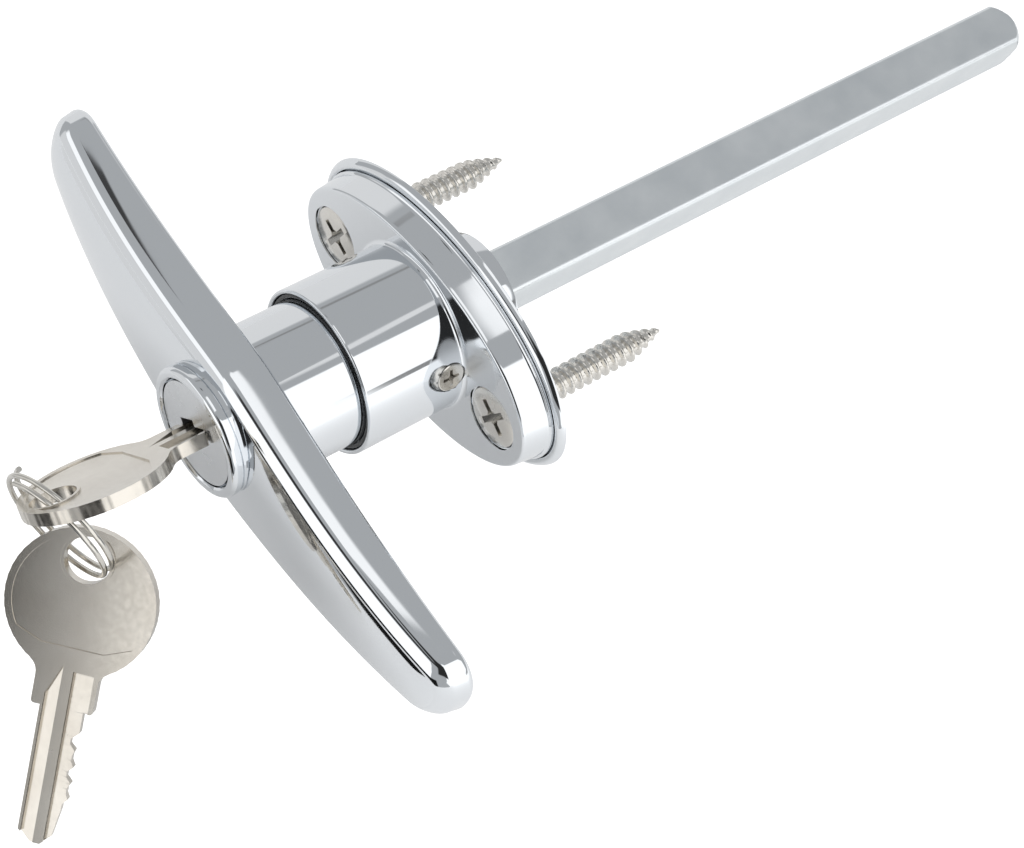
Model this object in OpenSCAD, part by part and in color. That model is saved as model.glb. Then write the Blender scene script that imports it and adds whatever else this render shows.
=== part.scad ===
// Garage door T-handle lock with a square drive shaft, two mounting screws and two keys on a split ring.
// Millimetres. The origin is the centre of the flange's back face, on the spindle axis.
// +Y runs into the door along the shaft, X runs along the flange and +Z is up.

/* [Drive shaft] */
// Width across the flats of the square shaft
shaft_w = 8; // [6:0.5:9]
// How far the shaft reaches behind the flange
shaft_reach = 121; // [60:1:160]
// Radius of the shaft's long edges
shaft_edge_r = 0.9; // [0.3:0.1:1.2]
// Depth of the shaft's socket in the spindle, measured from the spindle's rear end
socket_depth = 20; // [16:0.5:20.5]
// Diameter of the pin that crosses the shaft
cross_pin_d = 3; // [2:0.25:3.25]

/* [Housing] */
// Half of the flange's length, at its lip
flange_half_len = 29.7; // [27:0.1:36]
// Half of the flange's width, at its lip
flange_half_w = 17.8; // [16:0.1:24]
// Thickness of the flange from its back to its front face
flange_t = 6; // [5:0.1:8]
// Thickness of the thin lip round the flange's back
lip_t = 1.2; // [0.8:0.1:2]
// How far the lip stands out from the foot of the flange's wall
lip_w = 2.3; // [1.2:0.1:2.4]
// How far the flange's outline draws in from the lip to the front face
flange_draft = 2.9; // [2.9:0.1:4]
// Length of the tube in front of the flange
tube_len = 17.1; // [16:0.1:20]
// Wall of the tube at its rim, outside the seal
rim_wall = 0.7; // [0.5:0.1:1.5]
// Radius of the hollow blend at the tube's root
root_r = 0.8; // [0.6:0.1:1.8]
// Thickness of the floor that carries the spindle's shoulder
floor_t = 2; // [1.5:0.1:2.5]
// How far the spigot stands out behind the flange
spigot_len = 7; // [5:0.5:10]
// Wall of the spigot
spigot_wall = 2.7; // [2:0.1:4]

/* [Handle] */
// Distance from the middle of the handle to each tip
bar_half_len = 53.5; // [45:0.5:70]
// Half of the bar's height at the middle
bar_mid_h = 13; // [12.5:0.1:16]
// Half of the bar's height near the tips
bar_tip_h = 6.9; // [5:0.1:9]
// Thickness of the bar at the middle
bar_t = 7.4; // [6.5:0.1:9]
// How far the front face sweeps towards the door at the tips
front_sweep = 4.9; // [2:0.1:6]
// How far the back face sweeps towards the door at the tips
back_sweep = 2.5; // [0:0.1:4]
// Length of the rounding at each tip
bar_end_r = 5; // [3:0.5:7]
// Radius of the stem between the bar and the tube
stem_r = 11.5; // [11:0.1:12.5]
// Length of the stem that shows between the tube and the bar
stem_show = 11; // [8:0.5:16]
// Drop from the stem to the journal that turns in the tube
stem_step = 1.7; // [1.4:0.1:2]
// Outer radius of the collar round the lock plug
collar_r = 10.2; // [9.8:0.1:11]
// How far the collar stands in front of the bar
collar_h = 2.7; // [2:0.1:4]
// Wall of the collar
collar_wall = 1.7; // [1.2:0.1:1.9]
// Turn of the handle from the flange's line, as it stands at rest
handle_rest_turn = 10.5; // [5:0.5:15]
// Travel of the handle between its two stops
handle_travel = 90; // [60:5:100]

/* [Lock] */
// Radius of the plug's barrel
plug_r = 7; // [6.8:0.1:7.4]
// How far the plug's face lies behind the collar's rim
face_recess = 0.3; // [0.1:0.1:0.8]
// Spacing of the wafers along the plug
wafer_pitch = 2.5; // [2:0.1:2.6]
// Thickness of a wafer
wafer_t = 0.9; // [0.6:0.05:1]
// Width of a wafer across the key's faces
wafer_w = 4.8; // [4.2:0.1:5.2]
// Diameter of a wafer spring
spring_d = 0.9; // [0.6:0.05:1]
// Offset of the drive pin behind the plug
drive_pin_offset = 1.8; // [1.2:0.1:2]
// Diameter of the drive pin behind the plug
drive_pin_d = 2; // [1.5:0.1:2.2]
// Width of the lock bolt
bolt_w = 7; // [6:0.1:8]
// Thickness of the lock bolt along the spindle
bolt_t = 3.4; // [2.5:0.1:3.6]
// Diameter of the pin that holds the plug in the hub
plug_pin_d = 2; // [1.5:0.1:2.4]

/* [Keys] */
// Radius of a key's round bow
bow_r = 11.1; // [10.8:0.1:13]
// Radius of the hole in the bow
key_hole_r = 3.3; // [3:0.1:4]
// Distance from the hole to the bow's middle
key_hole_offset = 6.4; // [6:0.1:7.5]
// Thickness of a key
key_t = 2; // [1.6:0.1:2.2]
// Width of the key's neck
neck_w = 9.2; // [8:0.1:11]
// Distance from the bow's middle to the shoulders
neck_len = 16; // [14:0.5:20]
// Width of the blade
blade_w = 6.4; // [5.5:0.1:6.8]
// Depth of the raised rim round the bow
bow_rim_h = 0.2; // [0.1:0.05:0.4]
// Width of the raised rim round the bow
bow_rim_w = 1.2; // [0.8:0.1:2]
// Turn of the inserted key about the spindle
key_rest_turn = -42.5; // [-55:0.5:-30]

/* [Split ring] */
// Radius of the ring at the middle of its wire
ring_r = 9.4; // [9:0.1:12]
// Diameter of the ring's wire
ring_wire_d = 0.9; // [0.7:0.05:1]
// Distance between the ring's two turns
ring_pitch = 1.4; // [1.36:0.02:1.5]
// Number of turns of the wire
ring_turns = 1.94; // [1.8:0.02:1.96]

/* [Screws] */
// Distance from the spindle to each mounting screw
screw_offset = 19.8; // [19:0.1:22]
// Thread diameter of a mounting screw
screw_d = 4.8; // [4:0.1:5]
// Length of a mounting screw from its face to its tip
screw_len = 32; // [20:1:50]
// Diameter of a mounting screw's head
screw_head_d = 9.6; // [8.5:0.1:10]
// Shank diameter of the retaining screw
stop_screw_d = 2.5; // [2:0.1:3]
// Head diameter of the retaining screw
stop_screw_head_d = 4.6; // [4:0.1:5]
// Direction of the retaining screw, turned up from the flange's line
stop_screw_turn = 15; // [5:1:30]
// Distance of the retaining screw from the flange's front face
stop_screw_y = 2.5; // [2.5:0.1:3]

/* [Fits] */
// Radial clearance of a turning fit
run_clear = 0.05; // [0.02:0.01:0.08]
// Clearance on each side of a sliding or loose fit
slide_clear = 0.12; // [0.1:0.01:0.2]
// Clearance on each side of pieces that are pinned or seated together
seat_clear = 0.03; // [0.02:0.01:0.06]
// End float of the spindle in the housing
end_float = 0.2; // [0.15:0.05:0.3]
// Gap between pieces that pass each other without touching
free_gap = 0.3; // [0.25:0.05:0.4]

/* [Hidden] */
$fn = 64;

// Finishes
chrome = "#dfe2e5";
zinc_plate = "#b9bdc1";
nickel = "#cfcac1";
rubber = "#1b1b1c";
brass = "#c2a35a";
spring_steel = "#8d9296";

// Stations along the spindle, from the flange towards the key
flange_front_y = -flange_t;
tube_mouth_y = flange_front_y - tube_len;
bar_back_y = tube_mouth_y - stem_show;
bar_front_y = bar_back_y - bar_t;
collar_front_y = bar_front_y - collar_h;
face_y = collar_front_y + face_recess;

// How far shapes run into each other where they join, and past each other where they cut
lap = 1;
eps = 0.01;

// Seal and bores of the housing
seal_d = 0.84;
seal_bore_r = stem_r + seal_d + 2 * seat_clear;
tube_r = seal_bore_r + rim_wall;
seal_bore_depth = 2.9;
seal_bore_y = tube_mouth_y + seal_bore_depth;
seal_inset = 0.76;
seal_y = tube_mouth_y + seal_inset;
journal_r = stem_r - stem_step;
journal_bore_r = journal_r + run_clear;
socket_wall = 1.4;
tail_r = shaft_w * sqrt(2) / 2 + socket_wall;
tail_bore_r = tail_r + run_clear;
spigot_r = tail_bore_r + spigot_wall;
stem_front_y = seal_bore_y - end_float;
journal_end_y = -floor_t - end_float;
socket_end_y = spigot_len - socket_depth;

// Retaining screw, flush with the tube, and the groove that its tip follows
stop_y = flange_front_y - stop_screw_y;
stop_face = tube_r;
stop_head_h = 1.1;
stop_reach = 1.1;
stop_tip = journal_r - stop_reach;
groove_floor_r = stop_tip - free_gap;
groove_half_w = stop_screw_d / 2 + slide_clear;
groove_margin = asin(groove_half_w / stop_tip);
groove_start = -stop_screw_turn - handle_travel - groove_margin;
groove_span = handle_travel + 2 * groove_margin;

// Mounting screws and their holes
screw_hole_r = screw_d / 2 + free_gap;
screw_neck_d = screw_d - 2 * free_gap;
screw_cone_h = (screw_head_d - screw_neck_d) / 2;
thread_runout = 0.6;
thread_start = thread_runout - flange_front_y;
screw_point_len = screw_d * 1.5;
screw_point_d = 0.4;

// Cross recess of a screw, as shares of the head's diameter
recess_w_share = 0.15;
recess_arm_share = 0.58;
recess_depth_share = 0.16;

// Pin that crosses the spindle and the shaft
cross_pin_inset = 0.4;
cross_pin_margin = 1;
cross_pin_y = journal_end_y - cross_pin_margin - cross_pin_d / 2;

// Bevel on the shaft's rear end
bevel_len = shaft_w * 0.3;
bevel_outer_r = shaft_w * 0.645;
bevel_end_r = shaft_w * 0.425;

// Lock bolt, its channel in the spindle and its two keepers in the tube
bolt_front_y = seal_bore_y + free_gap;
bolt_swing = 45;
bolt_travel = drive_pin_offset * sin(bolt_swing);
bolt_tip_r = journal_r - free_gap;
bolt_tail = 5.5;
keeper_r = bolt_tip_r + bolt_travel + free_gap;
keeper_play = 2;
keeper_margin = asin(bolt_w / 2 / journal_bore_r) + keeper_play;
bolt_turn = 90;

// Plug, keyway and wafers
wafer_count = 5;
plug_bolt_gap = 1.7;
plug_back_y = bolt_front_y - plug_bolt_gap;
face_gap = 0.2;
plug_face_r = collar_r - collar_wall - face_gap;
plug_step_y = bar_front_y - slide_clear;
keyway_web = 1.4;
keyway_end_y = plug_back_y - keyway_web;
plug_pin_y = (bar_front_y + bar_back_y) / 2;
plug_pin_x = plug_r;
plug_pin_inset = 1.2;
plug_pin_low = plug_pin_inset - bar_mid_h;
plug_pin_high = 4;
plug_groove_r = plug_pin_x - plug_pin_d / 2 - slide_clear;
wafer_end_r = plug_r - slide_clear;
ear_w = 1.2;
ear_h = 1;
ear_base = 1.5;
spring_len = 4.2;
wafer_end_gap = 1.5;
last_wafer_y = keyway_end_y - wafer_end_gap;

// Keys: the hole is each key's own origin and the blade points down its own Z axis
shoulder_z = -key_hole_offset - neck_len;
key_face_gap = 0.2;
key_hole_y = face_y - key_face_gap + shoulder_z;
blade_len = keyway_end_y - face_y - free_gap + key_face_gap;
key_tip_z = shoulder_z - blade_len;
bow_plate_t = key_t - 2 * bow_rim_h;
keyway_t = key_t + 2 * slide_clear;
keyway_w = blade_w + 2 * slide_clear;
bit_depths = [1.1, 0.5, 0.8, 0.4, 0.7];
bit_first = 4.6;
bit_flat = wafer_pitch * 0.32;
key_groove_d = key_t * 0.55;
key_groove_x = -blade_w * 0.12;
key_groove_len = blade_len + neck_len * 0.55;

// Split ring: it hangs in the inserted key's hole and carries the spare key
ring_lean = [100.7, 0, 14.5];
ring_start = 150;
ring_sides = 8;
ring_steps = 24;
hook_gap = 0.8;
hole_inset = ring_wire_d / 2 + hook_gap;
hook_turn = 83.5;
hook_rise = 0.2;
spare_turn = -60.3;
spare_rise = -0.65;
spare_key_lean = [-41.6, -3.8, 40.2];
function on_ring(turn, rise) = [(ring_r - hole_inset) * cos(turn), (ring_r - hole_inset) * sin(turn), rise];
function ring_turned(v) =
    let (y = v[1] * cos(ring_lean[0]) - v[2] * sin(ring_lean[0]))
        let (z = v[1] * sin(ring_lean[0]) + v[2] * cos(ring_lean[0]))
            [
                v[0] * cos(ring_lean[2]) - y * sin(ring_lean[2]),
                v[0] * sin(ring_lean[2]) + y * cos(ring_lean[2]),
                z
            ];
ring_place = [0, key_hole_y, 0] - ring_turned(on_ring(hook_turn, hook_rise));
spare_key_place = ring_place + ring_turned(on_ring(spare_turn, spare_rise));

// Points along the wire of the split ring, in the ring's own plane
ring_count = ceil(ring_steps * ring_turns);
function ring_angle(i) = ring_start + 360 * ring_turns * i / ring_count;
function ring_rise(i) = ring_pitch * (ring_turns * i / ring_count - ring_turns / 2);
function ring_centre(i) = [ring_r * cos(ring_angle(i)), ring_r * sin(ring_angle(i)), ring_rise(i)];
function ring_section(i) = [
    for (k = [0 : ring_sides - 1])
        let (turn = 360 * k / ring_sides, reach = ring_r + ring_wire_d / 2 * cos(turn))
            [
                reach * cos(ring_angle(i)),
                reach * sin(ring_angle(i)),
                ring_rise(i) + ring_wire_d / 2 * sin(turn)
            ]
];
ring_self_gap = min([
    for (i = [0 : ring_count])
        for (j = [i + 3 : 1 : ring_count])
            if (j - i > ring_steps / 2) norm(ring_centre(i) - ring_centre(j)) - ring_wire_d
]);
echo(split_ring_least_gap_to_itself = ring_self_gap);

// Outline of the bar: height and faces at a distance x from its middle
bar_hub_blend = 3;
front_sweep_power = 2.7;
back_sweep_power = 2.4;
section_power = 3.6;
section_sides = 28;
bar_stations = 18;
bar_body_len = bar_half_len - bar_end_r;
function hub_reach(x) = sqrt(x * x + bar_hub_blend * bar_hub_blend) - bar_hub_blend;
function bar_height(x) = bar_mid_h - (bar_mid_h - bar_tip_h) * hub_reach(x) / hub_reach(bar_half_len);
function bar_front(x) = bar_front_y + front_sweep * pow(abs(x) / bar_half_len, front_sweep_power);
function bar_back(x) = bar_back_y + back_sweep * pow(abs(x) / bar_half_len, back_sweep_power);
function round_power(v) = sign(v) * pow(abs(v), 2 / section_power);
function bar_section(x, share) =
    let (middle = (bar_front(x) + bar_back(x)) / 2)
    let (depth = (bar_back(x) - bar_front(x)) / 2 * share, height = bar_height(x) * share)
        [
            for (k = [0 : section_sides - 1])
                let (turn = 360 * (k + 0.5) / section_sides)
                    [x, middle + depth * round_power(cos(turn)), height * round_power(sin(turn))]
        ];
function tip_x(turn) = bar_body_len + bar_end_r * sin(turn);
bar_rings = concat(
    [for (turn = [84 : -14 : 14]) bar_section(-tip_x(turn), cos(turn))],
    [for (i = [0 : bar_stations]) bar_section(bar_body_len * (2 * i / bar_stations - 1), 1)],
    [for (turn = [14 : 14 : 84]) bar_section(tip_x(turn), cos(turn))]
);

// Outline of the flange: inset from the lip at each height
flange_sides = 72;
lip_inset = 0.5;
groove_step = 0.1;
front_edge_r = 0.6;
front_edge_inset = 0.42;
function flange_ring(inset, y) = [
    for (k = [0 : flange_sides - 1])
        let (turn = 360 * k / flange_sides)
            [(flange_half_len - inset) * cos(turn), y, (flange_half_w - inset) * sin(turn)]
];
flange_rings = [
    flange_ring(0, 0),
    flange_ring(lip_inset, -lip_t),
    flange_ring(lip_w, -lip_t - groove_step),
    flange_ring(flange_draft - front_edge_inset, flange_front_y + front_edge_r),
    flange_ring(flange_draft, flange_front_y)
];

// Turns a shape drawn along Z so that it lies along the spindle
module spindle() {
    rotate([-90, 0, 0]) children();
}

// Places a shape in the handle's own frame
module handle_frame() {
    rotate([0, handle_rest_turn, 0]) children();
}

// Places a shape in the plug's own frame, with the key's width along X
module plug_frame() {
    rotate([0, key_rest_turn, 0]) children();
}

// A round bar along the spindle from one station to another
module rod(radius, from_y, to_y) {
    spindle() translate([0, 0, from_y]) cylinder(r = radius, h = to_y - from_y);
}

// A ring sector round the spindle
module sector(inner_r, outer_r, from_y, to_y, start, span) {
    spindle()
        rotate([0, 0, start])
            rotate_extrude(angle = span)
                translate([inner_r, from_y]) square([outer_r - inner_r, to_y - from_y]);
}

// A solid through a list of closed rings of points, with flat ends
module loft(rings) {
    sides = len(rings[0]);
    last = len(rings) - 1;
    points = [for (ring = rings) each ring];
    walls = [
        for (i = [0 : last - 1])
            for (k = [0 : sides - 1])
                let (a = i * sides + k, b = i * sides + (k + 1) % sides)
                    each [[a, a + sides, b], [b, a + sides, b + sides]]
    ];
    first_end = [for (k = [1 : sides - 2]) [0, k, k + 1]];
    last_end = [for (k = [1 : sides - 2]) [last * sides, last * sides + k + 1, last * sides + k]];
    polyhedron(points = points, faces = concat(walls, first_end, last_end));
}

// Points a shape drawn along Z out along the retaining screw
module stop_screw_frame() {
    translate([0, stop_y, 0]) rotate([0, 90 - stop_screw_turn, 0]) children();
}

// The cross recess in a screw's face, drawn downwards from the face
module cross_recess(head_d) {
    width = head_d * recess_w_share;
    arm = head_d * recess_arm_share;
    depth = head_d * recess_depth_share;
    for (turn = [0, 90])
        rotate([0, 0, turn]) translate([-width / 2, -arm / 2, -depth]) cube([width, arm, depth + eps]);
}

// Housing: the tube, the oval flange with its lip and the spigot behind it, one casting
module housing() {
    color(chrome)
        difference() {
            union() {
                loft(flange_rings);
                rod(tube_r, tube_mouth_y, flange_front_y + lap);
                spindle() rotate_extrude() root_profile();
                rod(spigot_r, -lap, spigot_len);
            }
            rod(seal_bore_r, tube_mouth_y - eps, seal_bore_y);
            rod(journal_bore_r, seal_bore_y - eps, -floor_t);
            rod(tail_bore_r, -floor_t - eps, spigot_len + eps);
            keepers();
            for (side = [-1, 1]) translate([side * screw_offset, 0, 0]) screw_hole();
            stop_screw_frame() cylinder(d = stop_screw_d + 2 * seat_clear, h = stop_face);
            stop_screw_frame()
                translate([0, 0, stop_face - stop_head_h])
                    cylinder(d = stop_screw_head_d + 2 * free_gap, h = stop_head_h + root_r);
        }
}

// Hollow blend between the tube and the flange, as a turned profile
module root_profile() {
    difference() {
        translate([tube_r - lap, flange_front_y - root_r]) square([root_r + lap, root_r + lap]);
        translate([tube_r + root_r, flange_front_y - root_r]) circle(r = root_r);
    }
}

// Two keepers that the bolt can enter: one over the closed position, one at the open stop
module keepers() {
    back_y = bolt_front_y + bolt_t + free_gap;
    sector(journal_r - lap, keeper_r, seal_bore_y - eps, back_y,
        bolt_turn - keeper_margin, handle_rest_turn + 2 * keeper_margin);
    sector(journal_r - lap, keeper_r, seal_bore_y - eps, back_y,
        bolt_turn + handle_travel - keeper_margin, 2 * keeper_margin);
}

// Clearance hole and countersink for one mounting screw
module screw_hole() {
    rod(screw_hole_r, flange_front_y - eps, eps);
    spindle()
        translate([0, 0, flange_front_y - eps])
            cylinder(
                r1 = screw_head_d / 2 + seat_clear, r2 = screw_neck_d / 2 + seat_clear, h = screw_cone_h
            );
}

// Rubber ring that seals the stem in the tube's mouth
module stem_seal() {
    color(rubber)
        spindle()
            translate([0, 0, seal_y])
                rotate_extrude()
                    translate([stem_r + seat_clear + seal_d / 2, 0]) circle(d = seal_d, $fn = 32);
}

// Retaining screw: its tip runs in the spindle's groove, holds the handle in and stops its turn
module retaining_screw() {
    color(nickel)
        stop_screw_frame()
            difference() {
                union() {
                    translate([0, 0, stop_tip]) cylinder(d = stop_screw_d, h = stop_face - stop_tip - eps);
                    translate([0, 0, stop_face - stop_head_h + seat_clear])
                        cylinder(d = stop_screw_head_d, h = stop_head_h);
                }
                translate([0, 0, stop_face + seat_clear])
                    cross_recess(stop_screw_head_d);
            }
}

// One mounting screw: countersunk head with a cross recess, plain neck, threaded shank and a point
module mounting_screw(side) {
    color(nickel)
        translate([side * screw_offset, flange_front_y, 0])
            spindle()
                difference() {
                    union() {
                        cylinder(d1 = screw_head_d, d2 = screw_neck_d, h = screw_cone_h);
                        cylinder(d = screw_neck_d, h = thread_start);
                        translate([0, 0, thread_start - free_gap])
                            cylinder(d1 = screw_neck_d, d2 = screw_d, h = free_gap);
                        translate([0, 0, thread_start])
                            cylinder(d = screw_d, h = screw_len - screw_point_len - thread_start);
                        translate([0, 0, screw_len - screw_point_len])
                            cylinder(d1 = screw_d, d2 = screw_point_d, h = screw_point_len);
                    }
                    mirror([0, 0, 1]) cross_recess(screw_head_d);
                }
}

module mounting_screw_left() {
    mounting_screw(-1);
}

module mounting_screw_right() {
    mounting_screw(1);
}

// Handle: the swept bar, the collar, the stem and the spindle, one casting
module t_handle() {
    color(chrome)
        handle_frame()
            difference() {
                union() {
                    loft(bar_rings);
                    spindle() rotate_extrude() collar_profile();
                    rod(stem_r, bar_back_y - lap, stem_front_y);
                    rod(journal_r, stem_front_y - lap, journal_end_y);
                    rod(tail_r, journal_end_y - lap, spigot_len);
                }
                rod(plug_face_r + face_gap, collar_front_y - eps, bar_front_y);
                rod(plug_r + run_clear, bar_front_y - eps, bolt_front_y + eps);
                bolt_channel();
                sector(groove_floor_r, stem_r, stop_y - groove_half_w, stop_y + groove_half_w,
                    groove_start, groove_span);
                shaft_bar(shaft_w + 2 * seat_clear, socket_end_y, spigot_len + eps);
                cross_pin_bar(cross_pin_d + 2 * seat_clear, journal_r + lap);
                plug_pin_hole();
            }
}

// Turned profile of the collar, with a rounded rim and a fine groove round its side
module collar_profile() {
    rim_r = collar_wall * 0.47;
    groove_w = 0.35;
    groove_depth = 0.25;
    groove_rise = 1;
    difference() {
        union() {
            translate([plug_r, collar_front_y + rim_r]) square([collar_r - plug_r, collar_h + lap - rim_r]);
            translate([collar_r - rim_r, collar_front_y + rim_r]) circle(r = rim_r, $fn = 32);
            translate([plug_r, collar_front_y]) square([collar_r - rim_r - plug_r, rim_r + eps]);
        }
        translate([collar_r - groove_depth, bar_front_y - groove_rise]) square([lap, groove_w]);
    }
}

// Radial channel in the spindle for the lock bolt, open towards the handle's underside
module bolt_channel() {
    channel_w = bolt_w + 2 * slide_clear;
    tail = bolt_tail + bolt_travel + free_gap;
    translate([-channel_w / 2, bolt_front_y - slide_clear, -stem_r])
        cube([channel_w, bolt_t + 2 * slide_clear, stem_r + tail]);
}

// Blind hole for the plug's pin, drilled from the underside of the hub
module plug_pin_hole() {
    translate([plug_pin_x, plug_pin_y, -bar_mid_h - lap])
        cylinder(d = plug_pin_d + 2 * seat_clear, h = bar_mid_h + lap + plug_pin_high + seat_clear);
}

// A square bar with rounded edges along the spindle
module shaft_bar(width, from_y, to_y) {
    core = width - 2 * shaft_edge_r;
    spindle()
        translate([0, 0, from_y])
            linear_extrude(height = to_y - from_y) {
                square([width, core], center = true);
                square([core, width], center = true);
                for (x = [-1, 1])
                    for (y = [-1, 1])
                        translate([x * core / 2, y * core / 2]) circle(r = shaft_edge_r, $fn = 24);
            }
}

// A bar across the spindle at the station of the cross pin
module cross_pin_bar(diameter, half_len) {
    translate([-half_len, cross_pin_y, 0]) rotate([0, 90, 0]) cylinder(d = diameter, h = 2 * half_len);
}

// Drive shaft: square bar with a bevelled end, crossed by its pin
module drive_shaft() {
    bevel_y = shaft_reach - bevel_len;
    color(zinc_plate)
        handle_frame()
            difference() {
                intersection() {
                    shaft_bar(shaft_w, socket_end_y + free_gap, shaft_reach);
                    spindle()
                        rotate_extrude()
                            polygon([
                                [0, socket_end_y], [shaft_w, socket_end_y], [shaft_w, bevel_y],
                                [bevel_outer_r, bevel_y], [bevel_end_r, shaft_reach], [0, shaft_reach]
                            ]);
                }
                cross_pin_bar(cross_pin_d + 2 * seat_clear, shaft_w);
            }
}

// Pin through the spindle and the shaft
module cross_pin() {
    color(spring_steel) handle_frame() cross_pin_bar(cross_pin_d, journal_r - cross_pin_inset);
}

// Pin in the hub that sits in the plug's groove and keeps the plug in
module plug_pin() {
    color(spring_steel)
        handle_frame()
            translate([plug_pin_x, plug_pin_y, plug_pin_low])
                cylinder(d = plug_pin_d, h = plug_pin_high - plug_pin_low);
}

// Lock bolt: slides out of the spindle into a keeper, moved by the plug's drive pin
module lock_bolt() {
    slot_w = drive_pin_d + 2 * slide_clear;
    color(brass)
        handle_frame()
            difference() {
                intersection() {
                    translate([-bolt_w / 2, bolt_front_y, -journal_r])
                        cube([bolt_w, bolt_t, journal_r + bolt_tail]);
                    rod(bolt_tip_r, bolt_front_y - lap, bolt_front_y + bolt_t + lap);
                }
                translate([-drive_pin_d / 2, bolt_front_y - eps, -slot_w / 2])
                    cube([bolt_w, bolt_t + 2 * eps, slot_w]);
            }
}

// Lock plug: face, barrel with keyway and wafer slots, and the drive pin behind it
module lock_plug() {
    color(chrome)
        difference() {
            union() {
                rod(plug_face_r, face_y, plug_step_y);
                rod(plug_r, plug_step_y - eps, plug_back_y);
                handle_frame()
                    translate([drive_pin_offset, 0, 0])
                        rod(drive_pin_d / 2, plug_back_y - eps, bolt_front_y + bolt_t - slide_clear);
            }
            plug_frame()
                translate([-keyway_w / 2, face_y - lap, -keyway_t / 2])
                    cube([keyway_w, keyway_end_y - face_y + lap, keyway_t]);
            for (i = [0 : wafer_count - 1]) plug_frame() translate([0, wafer_y(i), 0]) wafer_slot();
            spindle()
                translate([0, 0, plug_pin_y - plug_pin_d / 2 - slide_clear])
                    difference() {
                        cylinder(r = plug_r + lap, h = plug_pin_d + 2 * slide_clear);
                        translate([0, 0, -lap]) cylinder(r = plug_groove_r, h = plug_pin_d + 2 * lap);
                    }
        }
}

// Wafer stations, counted from the rear of the plug
function wafer_y(i) = last_wafer_y - i * wafer_pitch;

// Slot across the plug for one wafer, with a side pocket for its ear and spring
module wafer_slot() {
    slot_t = wafer_t + 2 * slide_clear;
    slot_w = wafer_w + 2 * slide_clear;
    pocket_low = ear_base - spring_len - seat_clear;
    pocket_high = ear_base + ear_h + lap;
    translate([-plug_r - lap, -slot_t / 2, -slot_w / 2]) cube([2 * (plug_r + lap), slot_t, slot_w]);
    translate([pocket_low, -slot_t / 2, slot_w / 2 - eps])
        cube([pocket_high - pocket_low, slot_t, ear_w + slide_clear]);
}

// One wafer: a plate with a window for the key and an ear on which its spring pushes
module wafer(i) {
    color(brass)
        plug_frame()
            translate([0, wafer_y(i) - wafer_t / 2, 0])
                difference() {
                    union() {
                        intersection() {
                            translate([-plug_r, 0, -wafer_w / 2]) cube([2 * plug_r, wafer_t, wafer_w]);
                            rod(wafer_end_r, -lap, wafer_t + lap);
                        }
                        translate([ear_base, 0, wafer_w / 2 - eps]) cube([ear_h, wafer_t, ear_w]);
                    }
                    translate([-keyway_w / 2 - slide_clear, -lap, -keyway_t / 2 - slide_clear])
                        cube([keyway_w + 2 * slide_clear, wafer_t + 2 * lap, keyway_t + 2 * slide_clear]);
                }
}

// One wafer spring, as the closed shape that it fills beside its wafer
module wafer_spring(i) {
    color(spring_steel)
        plug_frame()
            translate([ear_base - spring_len, wafer_y(i), wafer_w / 2 + slide_clear + ear_w / 2])
                rotate([0, 90, 0]) cylinder(d = spring_d, h = spring_len - seat_clear, $fn = 24);
}

// A key with its hole at the origin, its blade down Z and its cuts towards +X
module key_shape() {
    color(nickel)
        difference() {
            union() {
                plate(key_t) bow_outline(0);
                plate(key_t) translate([-neck_w / 2, shoulder_z]) square([neck_w, neck_len]);
                plate(key_t) blade_outline();
            }
            for (side = [-1, 1])
                translate([0, side * (bow_plate_t / 2 + bow_rim_h), 0])
                    plate(2 * bow_rim_h) bow_outline(bow_rim_w);
            plate(key_t + lap) circle(r = key_hole_r);
            for (side = [-1, 1])
                translate([key_groove_x, side * key_t / 2, key_tip_z - lap])
                    cylinder(d = key_groove_d, h = key_groove_len + lap);
        }
}

// A flat plate standing in the key's plane, from an outline drawn in X and Z
module plate(thickness) {
    rotate([90, 0, 0]) translate([0, 0, -thickness / 2]) linear_extrude(height = thickness) children();
}

// Round outline of the bow, drawn in by an inset
module bow_outline(inset) {
    translate([0, -key_hole_offset]) circle(r = bow_r - inset);
}

// Outline of the blade, with a pointed tip and one cut for each wafer
module blade_outline() {
    half_w = blade_w / 2;
    difference() {
        polygon([
            [-half_w, shoulder_z + lap], [-half_w, key_tip_z + half_w * 0.5], [-half_w * 0.4, key_tip_z],
            [half_w * 0.1, key_tip_z], [half_w, key_tip_z + half_w * 0.9], [half_w, shoulder_z + lap]
        ]);
        for (i = [0 : wafer_count - 1])
            translate([half_w, shoulder_z - bit_first - i * wafer_pitch]) bit_cut(bit_depths[i]);
    }
}

// One cut in the blade's edge
module bit_cut(depth) {
    low = bit_flat / 2;
    high = low + depth + lap;
    polygon([[lap, high], [-depth, low], [-depth, -low], [lap, -high]]);
}

// The key in the plug
module key() {
    plug_frame() translate([0, key_hole_y, 0]) rotate([90, 0, 0]) key_shape();
}

// Split ring: one wire wound nearly twice
module split_ring() {
    color(nickel) translate(ring_place) rotate(ring_lean) loft([for (i = [0 : ring_count]) ring_section(i)]);
}

// The spare key, hanging on the ring
module spare_key() {
    translate(spare_key_place) rotate(spare_key_lean) key_shape();
}

housing();
stem_seal();
retaining_screw();
mounting_screw_left();
mounting_screw_right();
t_handle();
drive_shaft();
cross_pin();
plug_pin();
lock_bolt();
lock_plug();
for (i = [0 : wafer_count - 1]) {
    wafer(i);
    wafer_spring(i);
}
key();
split_ring();
spare_key();
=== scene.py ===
"""Looks of a garage door T-handle lock: chrome handle and housing, square shaft, screws and two keys."""
from math import asin, cos, degrees, pi, radians, sin, sqrt

import bmesh
import bpy
from mathutils import Matrix, Vector


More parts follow.
